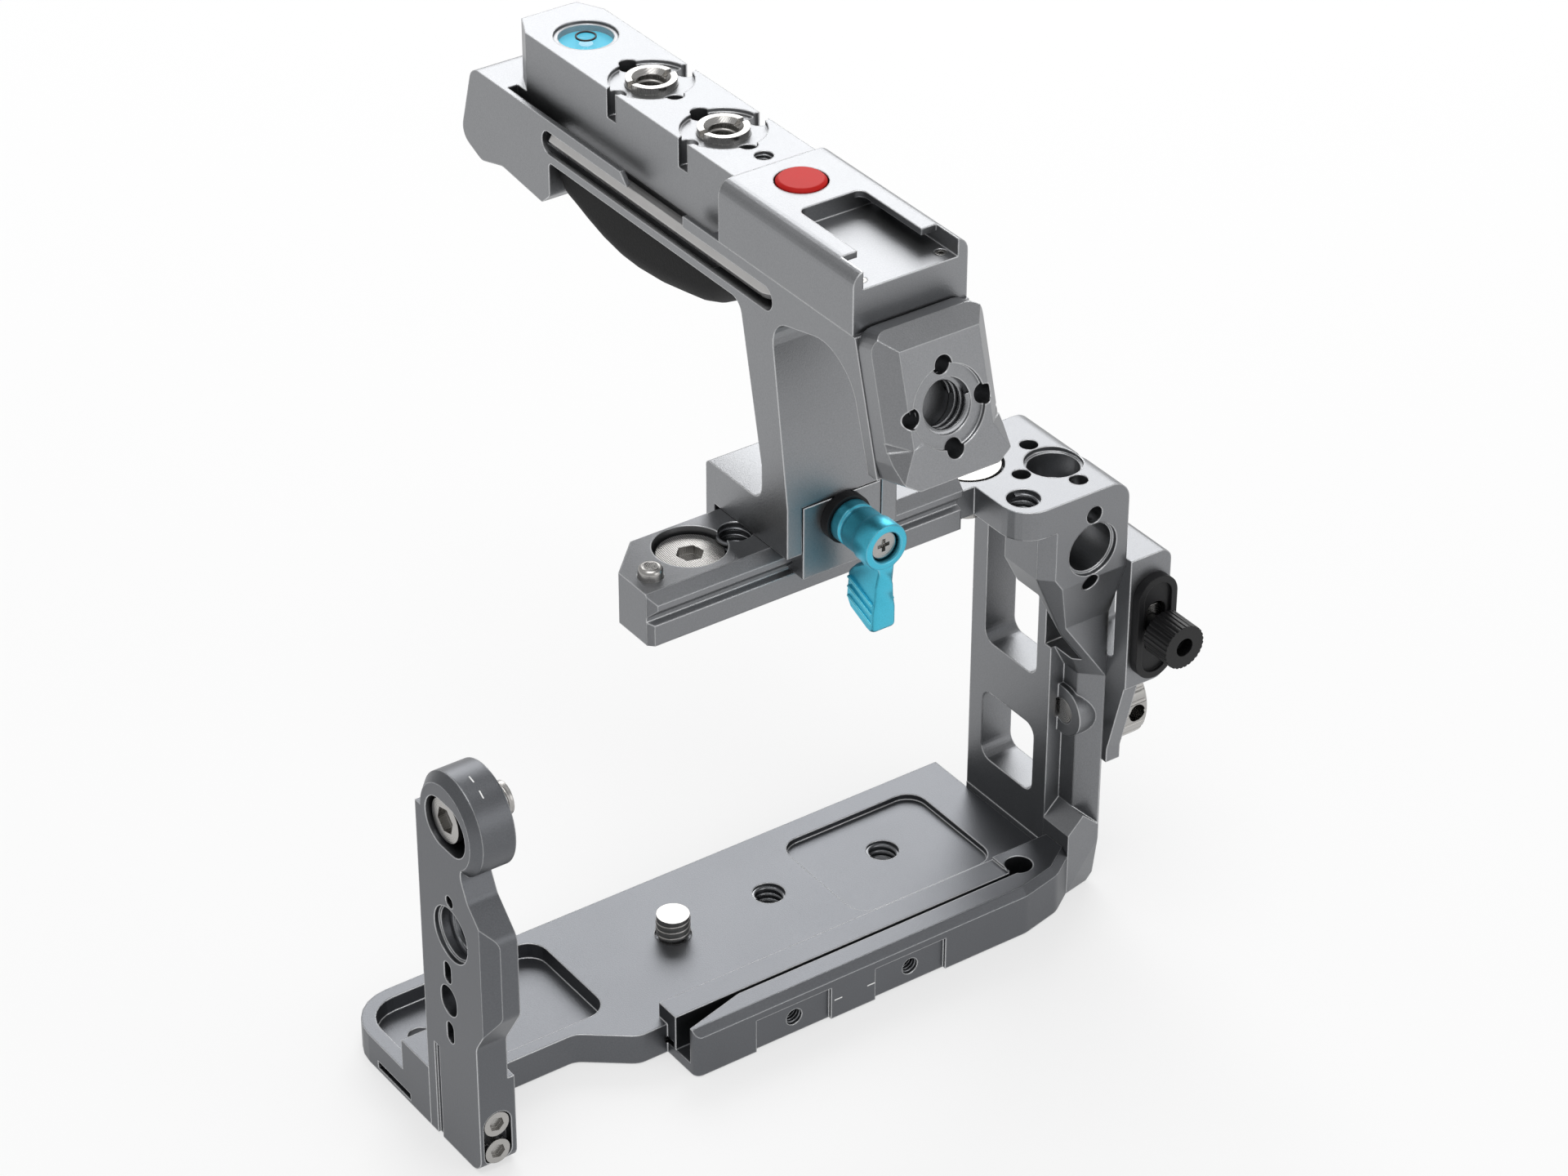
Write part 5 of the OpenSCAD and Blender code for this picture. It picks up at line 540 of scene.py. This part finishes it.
# %% Three grip ridges on each flank
# each ridge runs beside the blade's lower edge, from its back end to its front end
rise, back_y, front_y = 0.36, 8.0, 1.0
ridge_wide, ridge_tall, ridge_bevel = 4.9 * MM, 0.5 * MM, 0.2 * MM
ridge_long = (back_y - front_y) * math.hypot(1.0, rise) * MM
mid_y = (back_y + front_y) / 2
for count, back_z in enumerate((-8.9, -10.8, -12.7)):
    mid_z = back_z + rise * (mid_y - back_y)
    work = bmesh.new()
    bmesh.ops.create_cube(work, size=1.0)
    bmesh.ops.scale(work, verts=work.verts, vec=(ridge_wide, ridge_long, ridge_tall))
    bmesh.ops.bevel(work, geom=work.edges[:], offset=ridge_bevel, segments=3, affect="EDGES", profile=0.5,
                    material=-1)
    bmesh.ops.rotate(work, verts=work.verts, matrix=Matrix.Rotation(math.atan(rise), 3, "X"))
    bmesh.ops.translate(work, verts=work.verts,
                        vec=(blade_x, blade_front + mid_y * MM, stud_mid[2] + mid_z * MM))
    # the ridges wear the lighter blue, a painted highlight
    ridge = finish_piece("lever_ridge_%d" % (count + 1), work, ridge_blue_painted_highlight, body_of["clamp_lever"])
    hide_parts("clamp_lever")
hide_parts("clamp_lever")
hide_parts("clamp_lever")
print("lever:", round(barrel_len, 1), "mm barrel")

# %% [markdown]
# ## Rubber belly
# The rubber under the handle is moulded, so its underside is one long soft
# curve and its edges are round. Cross outlines with round corners are set along
# the handle and joined to one skin.

# %% Rubber belly
rubber_low, rubber_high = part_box("rubber_grip")
rubber_mid = middle("rubber_grip")
rubber_long = (rubber_high[1] - rubber_low[1]) / MM
rubber_wide = (rubber_high[0] - rubber_low[0]) / MM / 2
# depth of the belly at places along it, measured from its front end
belly = [(0.0, 0.5), (1.4, 2.0), (3.4, 4.0), (6.0, 6.0), (9.0, 7.8), (13.0, 9.3), (18.0, 10.3), (25.0, 11.6),
         (32.0, 12.2), (37.0, 12.1), (42.0, 11.3), (47.0, 9.9), (50.5, 8.7), (rubber_long - 1.4, 7.9),
         (rubber_long - 0.5, 7.0), (rubber_long, 5.6)]


def cross_outline(work, along, depth):
    round_r = min(4.6, depth * 0.75)
    wide = rubber_wide - (0.1 if 0.0 < along < rubber_long else 0.18)
    points = [(-wide, 0.0)]
    for step in range(9):
        angle = step / 8 * math.pi / 2
        points.append((-wide + round_r * (1 - math.cos(angle)), -depth + round_r * (1 - math.sin(angle))))
    points += [(-x, z) for x, z in reversed(points)]
    corners = [work.verts.new((rubber_mid[0] + x * MM, rubber_low[1] + along * MM, rubber_high[2] + z * MM))
               for x, z in points]
    return [work.edges.new(pair) for pair in zip(corners, corners[1:] + corners[:1])]


work = bmesh.new()
outlines = [cross_outline(work, along, depth) for along, depth in belly]
for near, far in zip(outlines, outlines[1:]):
    bmesh.ops.bridge_loops(work, edges=near + far)
for end in (outlines[0], outlines[-1]):
    bmesh.ops.contextual_create(work, geom=end)
rubber = finish_piece("rubber_belly", work, grip_rubber, body_of["rubber_grip"])
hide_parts("rubber_grip")
print("rubber belly:", len(rubber.data.polygons), "faces")

# %% [markdown]
# ## Bubble and plain ticks
# The level has a round bubble under its window. Short plain ticks stand on the
# arm's round head and on the front rail; there is no lettering on the part.

# %% Bubble
glass_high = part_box("level_liquid")[1]
level_mid = middle("level_liquid")
bubble = lathe("level_bubble", body_of["level_liquid"],
               [(0, -0.35), (0.8, -0.3), (1.25, -0.1), (1.4, 0.1), (1.25, 0.2), (0.0, 0.22)], (0, 0, 1),
               (level_mid[0], level_mid[1], glass_high[2] - 0.2 * MM), bubble_painted_glow, 40)

# %% Ticks
def tick(name, body, corners, place, turn=0.0):
    work = bmesh.new()
    bmesh.ops.create_grid(work, x_segments=2, y_segments=2, size=0.5)
    bmesh.ops.scale(work, verts=work.verts, vec=(corners[0] * MM, corners[1] * MM, 1.0))
    bmesh.ops.rotate(work, verts=work.verts, matrix=Matrix.Rotation(turn, 3, "X"))
    bmesh.ops.translate(work, verts=work.verts, vec=place)
    piece = finish_piece(name, work, mark_white, body, smooth=False)
    return piece


pair_mid = Vector(front_pair["pos_m"])
for hand, side_sign in (("left", -1), ("right", 1)):
    tick("rail_tick_" + hand, body_of["base_plate"], (1.7, 0.28),
         (pair_mid.x + side_sign * 3.6 * MM, -30.02 * MM, pair_mid.z + 0.4 * MM), math.pi / 2)

boss_mid = Vector((-0.0766, -0.0235, 0.0693))
boss_r = 9.32 * MM
for count, degrees in enumerate((57, 77)):
    angle = math.radians(degrees)
    tick("arm_tick_%d" % (count + 1), body_of["grip_arm"], (0.26, 1.5),
         (boss_mid.x, boss_mid.y - boss_r * math.cos(angle), boss_mid.z + boss_r * math.sin(angle)),
         math.pi / 2 - angle)
print("bubble and ticks in place")


# %% [markdown]
# ## Floor, sky and lamps
# The floor and the sky are pale. To the camera and in reflections they are
# near white, and the floor still takes the part's shadow. One wide softbox
# behind and above lights the upper faces, a weaker one fills the lens side.

# %% Floor and sky
def studio_floor():
    work = bmesh.new()
    bmesh.ops.create_grid(work, x_segments=1, y_segments=1, size=3.0)
    bmesh.ops.translate(work, verts=work.verts, vec=(0.0, 0.0, solid_box[0][2] - 0.0002))
    mesh = bpy.data.meshes.new("studio_floor")
    work.to_mesh(mesh)
    work.free()
    floor = bpy.data.objects.new("studio_floor", mesh)
    bpy.context.collection.objects.link(floor)
    finish = Finish("floor_paper")
    rays = finish.nodes.new("ShaderNodeLightPath")
    seen = Value(finish, rays.outputs["Is Camera Ray"]) + Value(finish, rays.outputs["Is Glossy Ray"]) \
        + Value(finish, rays.outputs["Is Transmission Ray"])
    finish.set(base_color=(0.82, 0.82, 0.82, 1.0), roughness=0.9, metallic=0.0)
    glow = finish.add("ShaderNodeEmission", None, {"Color": (1.0, 1.0, 1.0, 1.0), "Strength": 1.0})
    share = finish.add("ShaderNodeMath", {"operation": "MINIMUM"}, {0: seen * 0.62, 1: 0.62})
    both = finish.nodes.new("ShaderNodeMixShader")
    finish.plug(both.inputs[0], share)
    finish.links.new(finish.shader.outputs[0], both.inputs[1])
    finish.links.new(glow.socket, both.inputs[2])
    finish.links.new(both.outputs[0], next(n for n in finish.nodes if n.type == "OUTPUT_MATERIAL").inputs[0])
    mesh.materials.append(finish.material)
    return floor


def studio_sky(strength):
    world = bpy.data.worlds.new("studio_sky")
    bpy.context.scene.world = world
    world.use_nodes = True
    tree = world.node_tree
    sky = next(n for n in tree.nodes if n.type == "BACKGROUND")
    sky.inputs["Color"].default_value = (1.0, 1.0, 1.0, 1.0)
    rays = tree.nodes.new("ShaderNodeLightPath")
    seen = tree.nodes.new("ShaderNodeMath")
    seen.operation = "MAXIMUM"
    tree.links.new(rays.outputs["Is Camera Ray"], seen.inputs[0])
    tree.links.new(rays.outputs["Is Transmission Ray"], seen.inputs[1])
    level = tree.nodes.new("ShaderNodeMapRange")
    level.inputs["To Min"].default_value = strength
    level.inputs["To Max"].default_value = 1.0
    tree.links.new(seen.outputs[0], level.inputs["Value"])
    tree.links.new(level.outputs["Result"], sky.inputs["Strength"])


studio_floor()
studio_sky(0.55)


# %% Softboxes
def softbox(name, place, target, size, power):
    lamp = bpy.data.lights.new(name, "AREA")
    lamp.shape, lamp.size, lamp.size_y, lamp.energy = "RECTANGLE", size[0], size[1], power
    box = bpy.data.objects.new(name, lamp)
    bpy.context.collection.objects.link(box)
    aim = (Vector(target) - Vector(place)).to_track_quat("-Z", "Y")
    box.matrix_world = Matrix.Translation(place) @ aim.to_matrix().to_4x4()
    return box


softbox("softbox_back", (0.85, 1.2, 1.0), (0.0, 0.0, 0.08), (1.4, 1.0), 17.0)
softbox("softbox_top", (-0.2, -0.2, 1.5), (0.0, 0.0, 0.08), (0.9, 0.9), 7.0)
softbox("softbox_front", (0.5, -1.3, 0.55), (0.0, 0.0, 0.08), (0.8, 0.8), 3.0)
